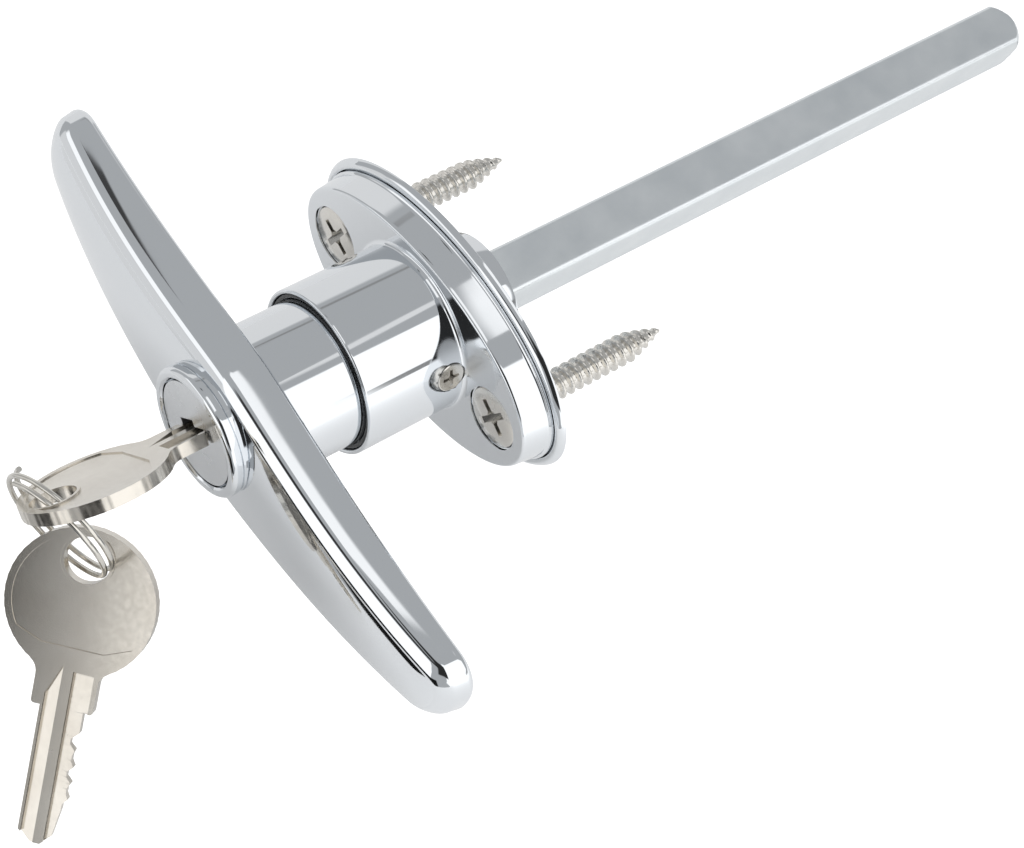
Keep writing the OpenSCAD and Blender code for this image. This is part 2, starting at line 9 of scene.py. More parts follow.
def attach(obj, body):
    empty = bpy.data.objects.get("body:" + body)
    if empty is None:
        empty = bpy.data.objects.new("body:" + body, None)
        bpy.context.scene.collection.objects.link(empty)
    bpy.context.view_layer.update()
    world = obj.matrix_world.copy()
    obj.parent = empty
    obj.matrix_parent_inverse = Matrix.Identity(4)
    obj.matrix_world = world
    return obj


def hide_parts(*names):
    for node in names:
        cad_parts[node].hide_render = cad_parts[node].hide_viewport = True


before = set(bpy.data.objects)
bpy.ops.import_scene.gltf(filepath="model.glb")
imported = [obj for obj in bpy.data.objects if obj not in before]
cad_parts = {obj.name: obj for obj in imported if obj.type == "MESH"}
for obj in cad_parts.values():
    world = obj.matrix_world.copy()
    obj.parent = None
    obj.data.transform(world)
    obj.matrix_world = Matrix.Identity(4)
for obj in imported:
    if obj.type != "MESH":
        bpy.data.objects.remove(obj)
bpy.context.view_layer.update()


# Housing
# One zinc die casting, polished and chrome plated: a tube that the spindle turns in, an oval flange with
# a thin lip that lies on the door, and a round spigot that centres it in the door's hole.
MM = 0.001


def linear(hex_code):
    """Linear colour of an sRGB hex value."""
    parts = [int(hex_code[i:i + 2], 16) / 255 for i in (1, 3, 5)]
    return tuple(c / 12.92 if c <= 0.04045 else ((c + 0.055) / 1.055) ** 2.4 for c in parts) + (1.0,)


def add(tree, kind, links=None, **settings):
    """Adds a node with its settings; links maps an input to a value or to another node's output."""
    node = tree.nodes.new(kind)
    for name, value in settings.items():
        setattr(node, name, value)
    for socket, value in (links or {}).items():
        if isinstance(value, bpy.types.NodeSocket):
            tree.links.new(value, node.inputs[socket])
        else:
            node.inputs[socket].default_value = value
    return node


def calc(tree, operation, first, second=0.0):
    """A number worked out from one or two others by a node."""
    return add(tree, "ShaderNodeMath", {0: first, 1: second}, operation=operation).outputs["Value"]


def new_material(name):
    """A material with an empty tree, and the tree's object coordinates."""
    material = bpy.data.materials.new(name)
    material.use_nodes = True
    tree = material.node_tree
    tree.nodes.clear()
    return material, tree, add(tree, "ShaderNodeTexCoord").outputs["Object"]


def tidy_mesh(piece, sharp=35):
    """Merges doubled points, turns the faces outwards and marks edges over an angle as sharp."""
    work = bmesh.new()
    work.from_mesh(piece.data)
    bmesh.ops.remove_doubles(work, verts=work.verts, dist=2e-6)
    bmesh.ops.recalc_face_normals(work, faces=work.faces)
    work.to_mesh(piece.data)
    work.free()
    piece.data.shade_smooth()
    piece.data.set_sharp_from_angle(angle=radians(sharp))


def mesh_object(name, points, faces, sharp=35):
    """An object from points in millimetres."""
    mesh = bpy.data.meshes.new(name)
    mesh.from_pydata([(x * MM, y * MM, z * MM) for x, y, z in points], [], faces)
    piece = bpy.data.objects.new(name, mesh)
    bpy.context.scene.collection.objects.link(piece)
    tidy_mesh(piece, sharp)
    return piece


def strip(rings, closed=False):
    """Points and faces through rings of equal length; closed joins the last ring to the first."""
    sides = len(rings[0])
    faces = []
    for i in range(len(rings) if closed else len(rings) - 1):
        j = (i + 1) % len(rings)
        for k in range(sides):
            n = (k + 1) % sides
            faces.append((i * sides + k, i * sides + n, j * sides + n, j * sides + k))
    if not closed:
        faces += [tuple(range(sides)), tuple(range((len(rings) - 1) * sides, len(rings) * sides))]
    return [point for ring in rings for point in ring], faces


def circle(radius, y, sides):
    """A ring of points round the spindle, from +X towards +Z."""
    turns = [2 * pi * k / sides for k in range(sides)]
    return [(radius * cos(turn), y, radius * sin(turn)) for turn in turns]


def arc(x, y, radius, start, end, steps):
    """Points of an arc in a plane, with its angles in degrees."""
    turns = [radians(start + (end - start) * i / steps) for i in range(steps + 1)]
    return [(x + radius * cos(turn), y + radius * sin(turn)) for turn in turns]


def lathe(name, profile, sides=160, closed=False, sharp=35):
    """A turned piece from (radius, y) points round the spindle."""
    return mesh_object(name, *strip([circle(r, y, sides) for r, y in profile], closed), sharp)


def block(name, low, high):
    """A box between two corners."""
    rings = [[(low[0], y, low[2]), (high[0], y, low[2]), (high[0], y, high[2]), (low[0], y, high[2])]
             for y in (low[1], high[1])]
    return mesh_object(name, *strip(rings))


def combine(piece, tool, operation="DIFFERENCE", sharp=35):
    """Cuts a tool out of a piece, or joins it on, and removes the tool."""
    modifier = piece.modifiers.new("combine", "BOOLEAN")
    modifier.operation = operation
    modifier.solver = "EXACT"
    modifier.object = tool
    whole = bpy.data.meshes.new_from_object(piece.evaluated_get(bpy.context.evaluated_depsgraph_get()))
    piece.modifiers.remove(modifier)
    piece.data = whole
    bpy.data.objects.remove(tool)
    tidy_mesh(piece, sharp)


def dress(piece, material, body, slot, *nodes):
    """Gives a piece its material, its body and the nodes that it stands for; slot is not used."""
    piece.data.materials.clear()
    piece.data.materials.append(material)
    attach(piece, body)
    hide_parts(*nodes)


def plated_metal(name, colour, roughness, wave_mm, wave_depth_mm, dull_spot=None):
    """A plated metal: hazy and clear patches, a faint waviness from polishing, and a flat spot left dull."""
    haze_mm, dull_rough, dull_full_mm, dull_clear_mm, dull_flatness = 7, 0.45, 3.2, 5.1, 4
    material, tree, place = new_material(name)
    haze = add(tree, "ShaderNodeTexNoise", {"Vector": place, "Scale": 1 / (haze_mm * MM), "Detail": 4.0})
    rough = add(tree, "ShaderNodeMapRange", {
        "Value": haze.outputs["Fac"], "From Min": 0.35, "From Max": 0.7,
        "To Min": roughness[0], "To Max": roughness[1]}).outputs["Result"]
    if dull_spot:
        x, y, z = dull_spot
        away = add(tree, "ShaderNodeVectorMath", {
            0: place, 1: (1, dull_flatness, 1), 2: (-x * MM, -y * dull_flatness * MM, -z * MM)},
            operation="MULTIPLY_ADD")
        away = add(tree, "ShaderNodeVectorMath", {0: away.outputs["Vector"]}, operation="LENGTH")
        dull = add(tree, "ShaderNodeMapRange", {
            "Value": away.outputs["Value"], "From Min": dull_full_mm * MM, "From Max": dull_clear_mm * MM,
            "To Min": dull_rough, "To Max": 0.0})
        rough = calc(tree, "MAXIMUM", rough, dull.outputs["Result"])
    wave = add(tree, "ShaderNodeTexNoise", {"Vector": place, "Scale": 1 / (wave_mm * MM), "Detail": 1.0})
    bump = add(tree, "ShaderNodeBump", {"Distance": wave_depth_mm * MM, "Height": wave.outputs["Fac"]})
    shader = add(tree, "ShaderNodeBsdfPrincipled", {
        "Base Color": linear(colour), "Metallic": 1.0, "Roughness": rough, "Normal": bump.outputs["Normal"]})
    add(tree, "ShaderNodeOutputMaterial", {"Surface": shader.outputs["BSDF"]})
    return material


TUBE_R, TUBE_MOUTH, FLANGE_FRONT = 13.1, -23.1, -6.0
JOURNAL_BORE_R, SEAL_BORE_R, SEAL_BORE_Y, FLOOR_Y = 9.85, 12.4, -20.2, -2.0
SPIGOT_R, TAIL_BORE_R, SPIGOT_END, SPIGOT_EDGE, SPIGOT_FLAT = 9.807, 7.107, 7.0, 0.5, 0.4
LIP_HALF_LEN, LIP_HALF_W = 29.7, 17.8
ROOT_BLEND, RIM_R = 0.7, 0.35
SCREW_X = 19.8
HOUSING_SIDES = 288
# The angle over which a casting's edge is sharp, a ring beside a rounding, and a tool's reach past a face
FINE, EDGE_HOLD, PAST = 32, 0.05, 1.0
# Insets and heights of the flange's rings: front edge, drafted wall with the ledge at its foot, groove, lip
FLANGE_EDGE = ((3.05, -6), (3.0, -6), (2.86, -5.98), (2.72, -5.92), (2.6, -5.82), (2.52, -5.68), (2.47, -5.5))
FLANGE_WALL = ((2.46, -5.4), (2.24, -3.6), (2.05, -2.05), (2.03, -1.9), (1.98, -1.76), (1.88, -1.64),
               (1.74, -1.56))
FLANGE_GROOVE = ((1.69, -1.5), (1.68, -1.3), (1.68, -0.45), (1.6, -0.4), (1.52, -0.45), (1.5, -0.98))
FLANGE_LIP = ((1.42, -1.08), (1.26, -1.15), (1.05, -1.16), (0.82, -1.1), (0.58, -0.95), (0.36, -0.74),
              (0.17, -0.5), (0.05, -0.25), (0, -0.08), (0.08, 0), (0.4, 0))
# Screw holes: a rim round the head, the countersink and the bore
SINK_RIM_R, SINK_RIM_Y, SINK_R, SINK_Y, SINK_FOOT, SCREW_BORE_R = 5.1, -5.6, 4.9, -5.5, -3.45, 2.55
# Retaining screw: its turn round the tube, its place along it, and its pocket
STOP_TURN, STOP_Y, STOP_FACE, STOP_TIP = -15, -8.5, 13.13, 8.7
STOP_HEAD_R, STOP_HEAD_H, STOP_SHANK_R, STOP_POCKET_R, STOP_BORE_R = 2.3, 1.1, 1.25, 2.42, 1.3
STOP_POCKET_TOP, STOP_BORE_END = -1.2, 4
# Keepers in the bore for the lock bolt: where each starts and its span, in degrees from +X downwards
KEEPERS = ((67.19, 56.12), (157.19, 45.62))
KEEPER_R, KEEPER_INSIDE, KEEPER_FRONT, KEEPER_BACK, KEEPER_STEPS = 11.07, 9.0, -20.25, -16.2, 24

# Chrome plate on polished zinc: nearly a mirror, a little blue beside nickel. The polishing wheel doesn't
# reach the corner of tube and flange beside the retaining screw, which stays dull.
DULL_CORNER = (15.4, FLANGE_FRONT, 7.0)
chrome = plated_metal("chrome_plated_zinc", "#E4E7EA", (0.03, 0.07), 9, 0.01, DULL_CORNER)


def oval(inset, y):
    """A ring of the flange's outline, drawn in from the lip."""
    ring = []
    for k in range(HOUSING_SIDES):
        c, s = cos(2 * pi * k / HOUSING_SIDES), sin(2 * pi * k / HOUSING_SIDES)
        reach = 1 / sqrt((c / (LIP_HALF_LEN - inset)) ** 2 + (s / (LIP_HALF_W - inset)) ** 2)
        ring.append((reach * c, y, reach * s))
    return ring


turned = [(TAIL_BORE_R, SPIGOT_END), (TAIL_BORE_R, FLOOR_Y), (JOURNAL_BORE_R, FLOOR_Y),
          (JOURNAL_BORE_R, SEAL_BORE_Y), (SEAL_BORE_R, SEAL_BORE_Y)]
turned += arc(TUBE_R - RIM_R, TUBE_MOUTH + RIM_R, RIM_R, 180, 360, 12)
turned += [(TUBE_R, TUBE_MOUTH + RIM_R + EDGE_HOLD), (TUBE_R, FLANGE_FRONT - ROOT_BLEND - EDGE_HOLD)]
turned += arc(TUBE_R + ROOT_BLEND, FLANGE_FRONT - ROOT_BLEND, ROOT_BLEND, 180, 90, 8)
turned += [(TUBE_R + ROOT_BLEND + EDGE_HOLD, FLANGE_FRONT)]
spigot = [(SPIGOT_R + SPIGOT_FLAT, 0), (SPIGOT_R, 0), (SPIGOT_R, EDGE_HOLD)]
spigot += [(SPIGOT_R - inset * SPIGOT_EDGE, SPIGOT_END - drop * SPIGOT_EDGE)
           for inset, drop in ((0, 1), (0.3, 0.3), (1, 0))]
housing_rings = [circle(r, y, HOUSING_SIDES) for r, y in turned]
housing_rings += [oval(inset, y) for inset, y in FLANGE_EDGE + FLANGE_WALL + FLANGE_GROOVE + FLANGE_LIP]
housing_rings += [circle(r, y, HOUSING_SIDES) for r, y in spigot]
housing = mesh_object("housing_casting", *strip(housing_rings, closed=True), FINE)
for side in (-1, 1):
    hole = lathe("hole", [(SINK_RIM_R, FLANGE_FRONT - PAST), (SINK_RIM_R, SINK_RIM_Y), (SINK_R, SINK_Y),
                          (SCREW_BORE_R, SINK_FOOT), (SCREW_BORE_R, PAST)], 96)
    hole.data.transform(Matrix.Translation((side * SCREW_X * MM, 0, 0)))
    combine(housing, hole, sharp=FINE)
STOP_PLACE = (Matrix.Rotation(radians(STOP_TURN), 4, "Y")
              @ Matrix.Translation((STOP_FACE * MM, STOP_Y * MM, 0))
              @ Matrix.Rotation(radians(90), 4, "Z"))
pocket = lathe("pocket", [(STOP_POCKET_R, STOP_POCKET_TOP), (STOP_POCKET_R, STOP_HEAD_H),
                          (STOP_BORE_R, STOP_HEAD_H), (STOP_BORE_R, STOP_BORE_END)], 64)
pocket.data.transform(STOP_PLACE)
combine(housing, pocket, sharp=FINE)
keeper_line = ((KEEPER_INSIDE, KEEPER_FRONT), (KEEPER_R, KEEPER_FRONT),
               (KEEPER_R, KEEPER_BACK), (KEEPER_INSIDE, KEEPER_BACK))
for start, span in KEEPERS:
    turns = [radians(start + span * i / KEEPER_STEPS) for i in range(KEEPER_STEPS + 1)]
    rings = [[(r * cos(turn), y, -r * sin(turn)) for r, y in keeper_line] for turn in turns]
    combine(housing, mesh_object("keeper", *strip(rings)), sharp=FINE)
dress(housing, chrome, "housing", "chrome", "housing")


# Stem seal
# A rubber ring in the tube's mouth that keeps rain out of the spindle; it shows as a black line.
SEAL_R, SEAL_D, SEAL_Y, RUBBER_GRAIN, RUBBER_GRAIN_DEPTH = 11.95, 0.84, -22.34, 0.4, 0.02
rubber, tree, place = new_material("black_nitrile_rubber")
grain = add(tree, "ShaderNodeTexNoise", {"Vector": place, "Scale": 1 / (RUBBER_GRAIN * MM), "Detail": 3.0})
bump = add(tree, "ShaderNodeBump", {"Distance": RUBBER_GRAIN_DEPTH * MM, "Height": grain.outputs["Fac"]})
shader = add(tree, "ShaderNodeBsdfPrincipled", {
    "Base Color": linear("#101113"), "Roughness": 0.22, "Normal": bump.outputs["Normal"]})
add(tree, "ShaderNodeOutputMaterial", {"Surface": shader.outputs["BSDF"]})
seal = lathe("stem_seal_ring", arc(SEAL_R, SEAL_Y, SEAL_D / 2, 0, 345, 23), 128, closed=True)
dress(seal, rubber, "housing", "black_rubber", "stem_seal")


# T-handle
# A zinc casting like the housing, chrome plated: a swept bar with rounded edges, a collar round the lock
# plug, and behind the bar the stem and the spindle that turns in the tube.
HANDLE_TURN = Matrix.Rotation(radians(10.5), 4, "Y")
BAR_HALF_LEN, BAR_MID_H, BAR_TIP_H, HUB_BLEND = 52.8, 13.0, 6.9, 3.0
BAR_FRONT, FRONT_SWEEP, FRONT_POWER = -41.5, 4.9, 2.7
BAR_BACK, BACK_SWEEP, BACK_POWER = -34.1, 2.5, 2.4
BACK_EDGE_R, TIP_LEN, TIP_POWER, DRAFT = 1.5, 5.5, 2.3, 0.3
# The ridge along the bar's face: its height, and where it starts to run out
RIDGE_H, RIDGE_END = 0.7, 45.0
# The front edge's arcs from the side to the face: radius, start and end of the turn in degrees
FRONT_EDGE = ((1.6, 3, 40), (4.5, 40, 62), (1.6, 62, 86))
TIP_STEPS, BODY_STEPS, EDGE_STEPS = 14, 96, 10
# Shares of the half height that rings of the back and of the face lie at
BACK_SHARES = (0, 0.3, 0.6, 0.85, 0.97)
FACE_SHARES = (0.97, 0.9, 0.8, 0.7, 0.6, 0.5, 0.4, 0.3, 0.2, 0.1, 0)
STEM_R, STEM_FRONT, STEM_END, JOURNAL_R, JOURNAL_END, TAIL_R = 11.5, -36, -20.4, 9.8, -2.2, 7.057
COLLAR_R, COLLAR_FRONT, COLLAR_BACK, COLLAR_EDGE_R, COLLAR_LIP_R = 10.2, -44.2, -37, 0.85, 8.6
# The line turned round the collar, and the plug's hole with its bevelled mouth, as radii and places
COLLAR_GROOVE = ((COLLAR_R, -42.35), (9.95, -42.42), (9.95, -42.6), (COLLAR_R, -42.68))
COLLAR_BORE, PLUG_BORE, PLUG_SEAT, BOLT_FRONT = 8.5, 7.05, -41.5, -19.9
PLUG_HOLE = ((8.8, -46), (8.8, COLLAR_FRONT + 0.02), (8.65, -44.05), (COLLAR_BORE, -43.85),
             (COLLAR_BORE, PLUG_SEAT), (PLUG_BORE, PLUG_SEAT), (PLUG_BORE, BOLT_FRONT))
# Corners of the lock bolt's channel and of the shaft's socket
BOLT_CHANNEL = ((-3.62, -20.02, -12), (3.62, -16.38, 7.1))
SHAFT_SOCKET = ((-4.03, -13, -4.03), (4.03, 8, 4.03))


def hub_reach(x):
    """Distance from the bar's middle, blunted where the two arms meet."""
    return sqrt(x * x + HUB_BLEND * HUB_BLEND) - HUB_BLEND


def bar_height(x):
    """Half height of the bar at a distance from its middle."""
    return BAR_MID_H - (BAR_MID_H - BAR_TIP_H) * hub_reach(x) / hub_reach(BAR_HALF_LEN)


def bar_front(x):
    """Front of the bar, which sweeps back towards the tips."""
    return BAR_FRONT + FRONT_SWEEP * (abs(x) / BAR_HALF_LEN) ** FRONT_POWER


def bar_back(x):
    """Back of the bar, which follows the front more gently."""
    return BAR_BACK + BACK_SWEEP * (abs(x) / BAR_HALF_LEN) ** BACK_POWER


def bar_outline():
    """The bar seen from the front, as (x, z) points from the right tip over the top and back below."""
    body = BAR_HALF_LEN - TIP_LEN
    right = []
    for i in range(TIP_STEPS):
        turn = radians(90 - 90 * i / TIP_STEPS)
        x = body + TIP_LEN * sin(turn) ** (2 / TIP_POWER)
        right.append((x, bar_height(x) * abs(cos(turn)) ** (2 / TIP_POWER)))
    places = [body * (1 - i / BODY_STEPS) for i in range(BODY_STEPS)]
    right += [(x, bar_height(x)) for x in places]
    over = right + [(0, BAR_MID_H)] + [(-x, z) for x, z in reversed(right)]
    return over + [(x, -z) for x, z in reversed(over[1:-1])]


def drawn_in(line, inset):
    """An outline moved inwards along its normals."""
    moved = []
    for i, (x, z) in enumerate(line):
        before, after = line[i - 1], line[(i + 1) % len(line)]
        run, rise = after[0] - before[0], after[1] - before[1]
        length = sqrt(run * run + rise * rise)
        moved.append((x - inset * rise / length, z + inset * run / length))
    return moved


def bar_ring(inset, face, depth, narrow=1.0):
    """A ring of the bar: drawn in, set behind a face, and narrowed towards the middle line."""
    return [(x, face(x) + depth, z * narrow) for x, z in drawn_in(bar_outline(), inset)]


def front_edge():
    """Insets and depths along the front edge, from the bar's side to its face."""
    line, inset = [], DRAFT
    depth = sum(r * (sin(radians(end)) - sin(radians(start))) for r, start, end in FRONT_EDGE)
    for r, start, end in FRONT_EDGE:
        turns = [radians(start + (end - start) * i / EDGE_STEPS) for i in range(EDGE_STEPS + 1)]
        line += [(inset + r * (cos(turns[0]) - cos(turn)), depth - r * (sin(turn) - sin(turns[0])))
                 for turn in turns[(1 if line else 0):]]
        inset, depth = line[-1]
    return line


FACE_INSET = front_edge()[-1][0]


def ridged_face(narrow):
    """The bar's face at a share of its half height, with a ridge along the middle that ends at the tips."""
    def face(x):
        run_out = max(0, abs(x) - RIDGE_END) / (BAR_HALF_LEN - FACE_INSET - RIDGE_END)
        return bar_front(x) - RIDGE_H * (1 - narrow * narrow) * sqrt(max(0, 1 - run_out * run_out))
    return face


edge_turns = [radians(90 * i / EDGE_STEPS) for i in range(EDGE_STEPS + 1)]
bar_rings = [bar_ring(BACK_EDGE_R, bar_back, 0, narrow) for narrow in BACK_SHARES]
bar_rings += [bar_ring(BACK_EDGE_R * (1 - sin(turn)), bar_back, -BACK_EDGE_R * (1 - cos(turn)))
              for turn in edge_turns]
bar_rings += [bar_ring(inset, bar_front, depth) for inset, depth in front_edge()]
bar_rings += [bar_ring(FACE_INSET, ridged_face(narrow), 0, narrow) for narrow in FACE_SHARES]
points, faces = strip(bar_rings)
handle = mesh_object("t_handle_casting", points, faces[:-2], FINE)
collar_edge = arc(COLLAR_R - COLLAR_EDGE_R, COLLAR_FRONT + COLLAR_EDGE_R, COLLAR_EDGE_R, 0, -90, 10)
collar = lathe("collar", [
    (COLLAR_R, COLLAR_BACK), *COLLAR_GROOVE, *collar_edge, (COLLAR_LIP_R, COLLAR_FRONT)])
stem = lathe("stem", [
    (STEM_R, STEM_FRONT), (STEM_R, STEM_END), (JOURNAL_R, STEM_END), (JOURNAL_R, JOURNAL_END),
    (TAIL_R, JOURNAL_END), (TAIL_R, SPIGOT_END)])
combine(handle, stem, "UNION", FINE)
combine(handle, collar, "UNION", FINE)
combine(handle, lathe("plug_hole", PLUG_HOLE), sharp=FINE)
combine(handle, block("bolt_channel", *BOLT_CHANNEL), sharp=FINE)
combine(handle, block("shaft_socket", *SHAFT_SOCKET), sharp=FINE)
handle.data.transform(HANDLE_TURN)
dress(handle, chrome, "handle", "chrome", "t_handle")


# Drive shaft and its pin
# A drawn square steel bar, zinc plated, with rounded edges and a bevelled end that finds the latch; a
# spring steel pin crosses it in the spindle, and a second pin holds the lock plug in the hub.
SHAFT_HALF_W, SHAFT_EDGE_R, SHAFT_START, SHAFT_END, BEVEL_LEN = 4.0, 0.9, -12.7, 121.0, 2.4
FLAT_STEPS, CORNER_STEPS = 12, 8
# Where the plain bar has rings, a reach past its corners, and the bevel's falls and reaches from the axis
SHAFT_RINGS, SHAFT_REACH = (SHAFT_START, 0, 40, 80, SHAFT_END - BEVEL_LEN), 9
SHAFT_BEVEL = ((0.05, 5.2), (0.3, 5.05), (0.8, 4.75), (1.3, 4.38), (1.8, 3.98), (2.15, 3.66), (2.32, 3.45),
               (2.4, 3.2))
# Widths of the drawing marks and of the cloudy patches in the zinc
DRAWN_W, DRAWN_DEPTH, DRAWN_STRETCH, CLOUD_W = 0.5, 0.006, 0.03, 6


def shaft_ring(y, reach):
    """A square ring with rounded corners, cut back to a reach from the axis."""
    core = SHAFT_HALF_W - SHAFT_EDGE_R
    quarter = [(SHAFT_HALF_W, core * (2 * i / FLAT_STEPS - 1)) for i in range(FLAT_STEPS)]
    quarter += arc(core, core, SHAFT_EDGE_R, 0, 90, CORNER_STEPS)[:-1]
    ring = []
    for c, s in ((1, 0), (0, 1), (-1, 0), (0, -1)):
        for a, b in quarter:
            scale = min(1, reach / sqrt(a * a + b * b))
            ring.append(((a * c - b * s) * scale, y, (a * s + b * c) * scale))
    return ring


def toned(tree, value, stops):
    """A colour that follows a number between two stops, each a place and an sRGB hex value."""
    tone = add(tree, "ShaderNodeValToRGB", {"Fac": value})
    for element, (position, colour) in zip(tone.color_ramp.elements, stops):
        element.position = position
        element.color = linear(colour)
    return tone.outputs["Color"]


def paint_node(name, material):
    """Gives a solid that stays as it is in the scene a material."""
    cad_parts[name].data.materials.clear()
    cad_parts[name].data.materials.append(material)


zinc, tree, place = new_material("zinc_plated_steel")
along = add(tree, "ShaderNodeMapping", {"Vector": place, "Scale": (1, DRAWN_STRETCH, 1)})
drawn = add(tree, "ShaderNodeTexNoise", {
    "Vector": along.outputs["Vector"], "Scale": 1 / (DRAWN_W * MM), "Detail": 5.0})
cloud = add(tree, "ShaderNodeTexNoise", {"Vector": place, "Scale": 1 / (CLOUD_W * MM), "Detail": 6.0})
tone = toned(tree, cloud.outputs["Fac"], ((0.3, "#E2E7EA"), (0.7, "#EDF1F3")))
rough = add(tree, "ShaderNodeMapRange", {"Value": cloud.outputs["Fac"], "To Min": 0.24, "To Max": 0.4})
bump = add(tree, "ShaderNodeBump", {"Distance": DRAWN_DEPTH * MM, "Height": drawn.outputs["Fac"]})
shader = add(tree, "ShaderNodeBsdfPrincipled", {
    "Base Color": tone, "Metallic": 1.0, "Roughness": rough.outputs["Result"],
    "Normal": bump.outputs["Normal"]})
add(tree, "ShaderNodeOutputMaterial", {"Surface": shader.outputs["BSDF"]})

shaft_rings = [shaft_ring(y, SHAFT_REACH) for y in SHAFT_RINGS]
shaft_rings += [shaft_ring(SHAFT_END - BEVEL_LEN + fall, reach) for fall, reach in SHAFT_BEVEL]
shaft = mesh_object("square_drive_shaft", *strip(shaft_rings), 25)
shaft.data.transform(HANDLE_TURN)
dress(shaft, zinc, "handle", "zinc_plated_steel", "drive_shaft")

steel = plated_metal("spring_steel", "#9A9C9E", (0.22, 0.34), 4, 0.004)
for node in ("cross_pin", "plug_pin"):
    paint_node(node, steel)


# Lock bolt
# A stamped brass slide in the spindle; the plug's drive pin moves it out into a keeper in the tube.
brass = plated_metal("stamped_brass", "#CBB06A", (0.2, 0.35), 3, 0.004)
paint_node("lock_bolt", brass)


# Lock plug
# A zinc plug with a satin chrome face, bored to the hub; wafers and their springs lie across its keyway,
# and a drive pin stands behind it.
PLUG_TURN = Matrix.Rotation(radians(-42.5), 4, "Y")
PLUG_FACE_R, PLUG_FACE_Y, PLUG_EDGE_R, PLUG_STEP, PLUG_R, PLUG_BACK = 8.22, -43.9, 0.12, -41.62, 7.0, -21.6
# The groove that the plug's pin lies in, and the pin that drives the bolt
PIN_GROOVE_R, PIN_GROOVE_BACK, PIN_GROOVE_FRONT = 5.88, -36.68, -38.92
DRIVE_PIN_R, DRIVE_PIN_END, DRIVE_PIN_X = 1, -16.62, 1.8
# Corners of the keyway's cuts: the blade's slot, the wards on both sides, and the wider mouth
KEYWAY = (((-3.32, -46, -1.12), (3.32, -23, 1.12)), ((-3.05, -46, 0.9), (-0.5, -23.1, 1.75)),
          ((-3.05, -46, 0.9), (0.7, -40.5, 2.2)), ((0.6, -46, -1.7), (2.6, -23.1, -0.9)))
WAFER_COUNT, WAFER_FIRST, WAFER_PITCH, WAFER_SLOT_HALF_T = 5, -24.5, 2.5, 0.57
WAFER_Y = [WAFER_FIRST - WAFER_PITCH * i for i in range(WAFER_COUNT)]
# Left, bottom, right and top of a wafer's slot and of its spring's pocket
WAFER_CUTS = ((-9, -2.52, 9, 2.52), (-2.73, 2.4, 3.5, 3.84))
satin = plated_metal("satin_chrome_plated_zinc", "#D9DBDD", (0.22, 0.32), 2, 0.006)
plug = lathe("lock_plug_turned", [
    (PLUG_R, PLUG_BACK), (PLUG_R, PIN_GROOVE_BACK), (PIN_GROOVE_R, PIN_GROOVE_BACK),
    (PIN_GROOVE_R, PIN_GROOVE_FRONT), (PLUG_R, PIN_GROOVE_FRONT), (PLUG_R, PLUG_STEP),
    (PLUG_FACE_R, PLUG_STEP), (PLUG_FACE_R, PLUG_FACE_Y + PLUG_EDGE_R),
    *arc(PLUG_FACE_R - PLUG_EDGE_R, PLUG_FACE_Y + PLUG_EDGE_R, PLUG_EDGE_R, 0, -90, 5)])
drive_pin = lathe("drive_pin", [(DRIVE_PIN_R, PLUG_BACK - PAST), (DRIVE_PIN_R, DRIVE_PIN_END)], 32)
drive_pin.data.transform(HANDLE_TURN @ Matrix.Translation((DRIVE_PIN_X * MM, 0, 0)))
combine(plug, drive_pin, "UNION")
cuts = list(KEYWAY)
for y in WAFER_Y:
    cuts += [((left, y - WAFER_SLOT_HALF_T, bottom), (right, y + WAFER_SLOT_HALF_T, top))
             for left, bottom, right, top in WAFER_CUTS]
for low, high in cuts:
    cut = block("cut", low, high)
    cut.data.transform(PLUG_TURN)
    combine(plug, cut)
dress(plug, satin, "plug", "plug_satin_chrome", "lock_plug")
for i in range(WAFER_COUNT):
    paint_node(f"wafer_{i + 1}", brass)


# Wafer springs
# Fine coils of spring wire that push each wafer out; each is wound to the same length.
def grown(name, group, sizes):
    """An object whose mesh is what a geometry tree makes with the given sizes."""
    piece = bpy.data.objects.new(name, bpy.data.meshes.new(name))
    bpy.context.scene.collection.objects.link(piece)
    modifier = piece.modifiers.new("grow", "NODES")
    modifier.node_group = group
    for socket in group.interface.items_tree:
        if socket.in_out == "INPUT" and socket.name in sizes:
            modifier[socket.identifier] = sizes[socket.name]
    piece.update_tag()
    made = bpy.data.meshes.new_from_object(piece.evaluated_get(bpy.context.evaluated_depsgraph_get()))
    piece.modifiers.remove(modifier)
    piece.data = made
    return piece


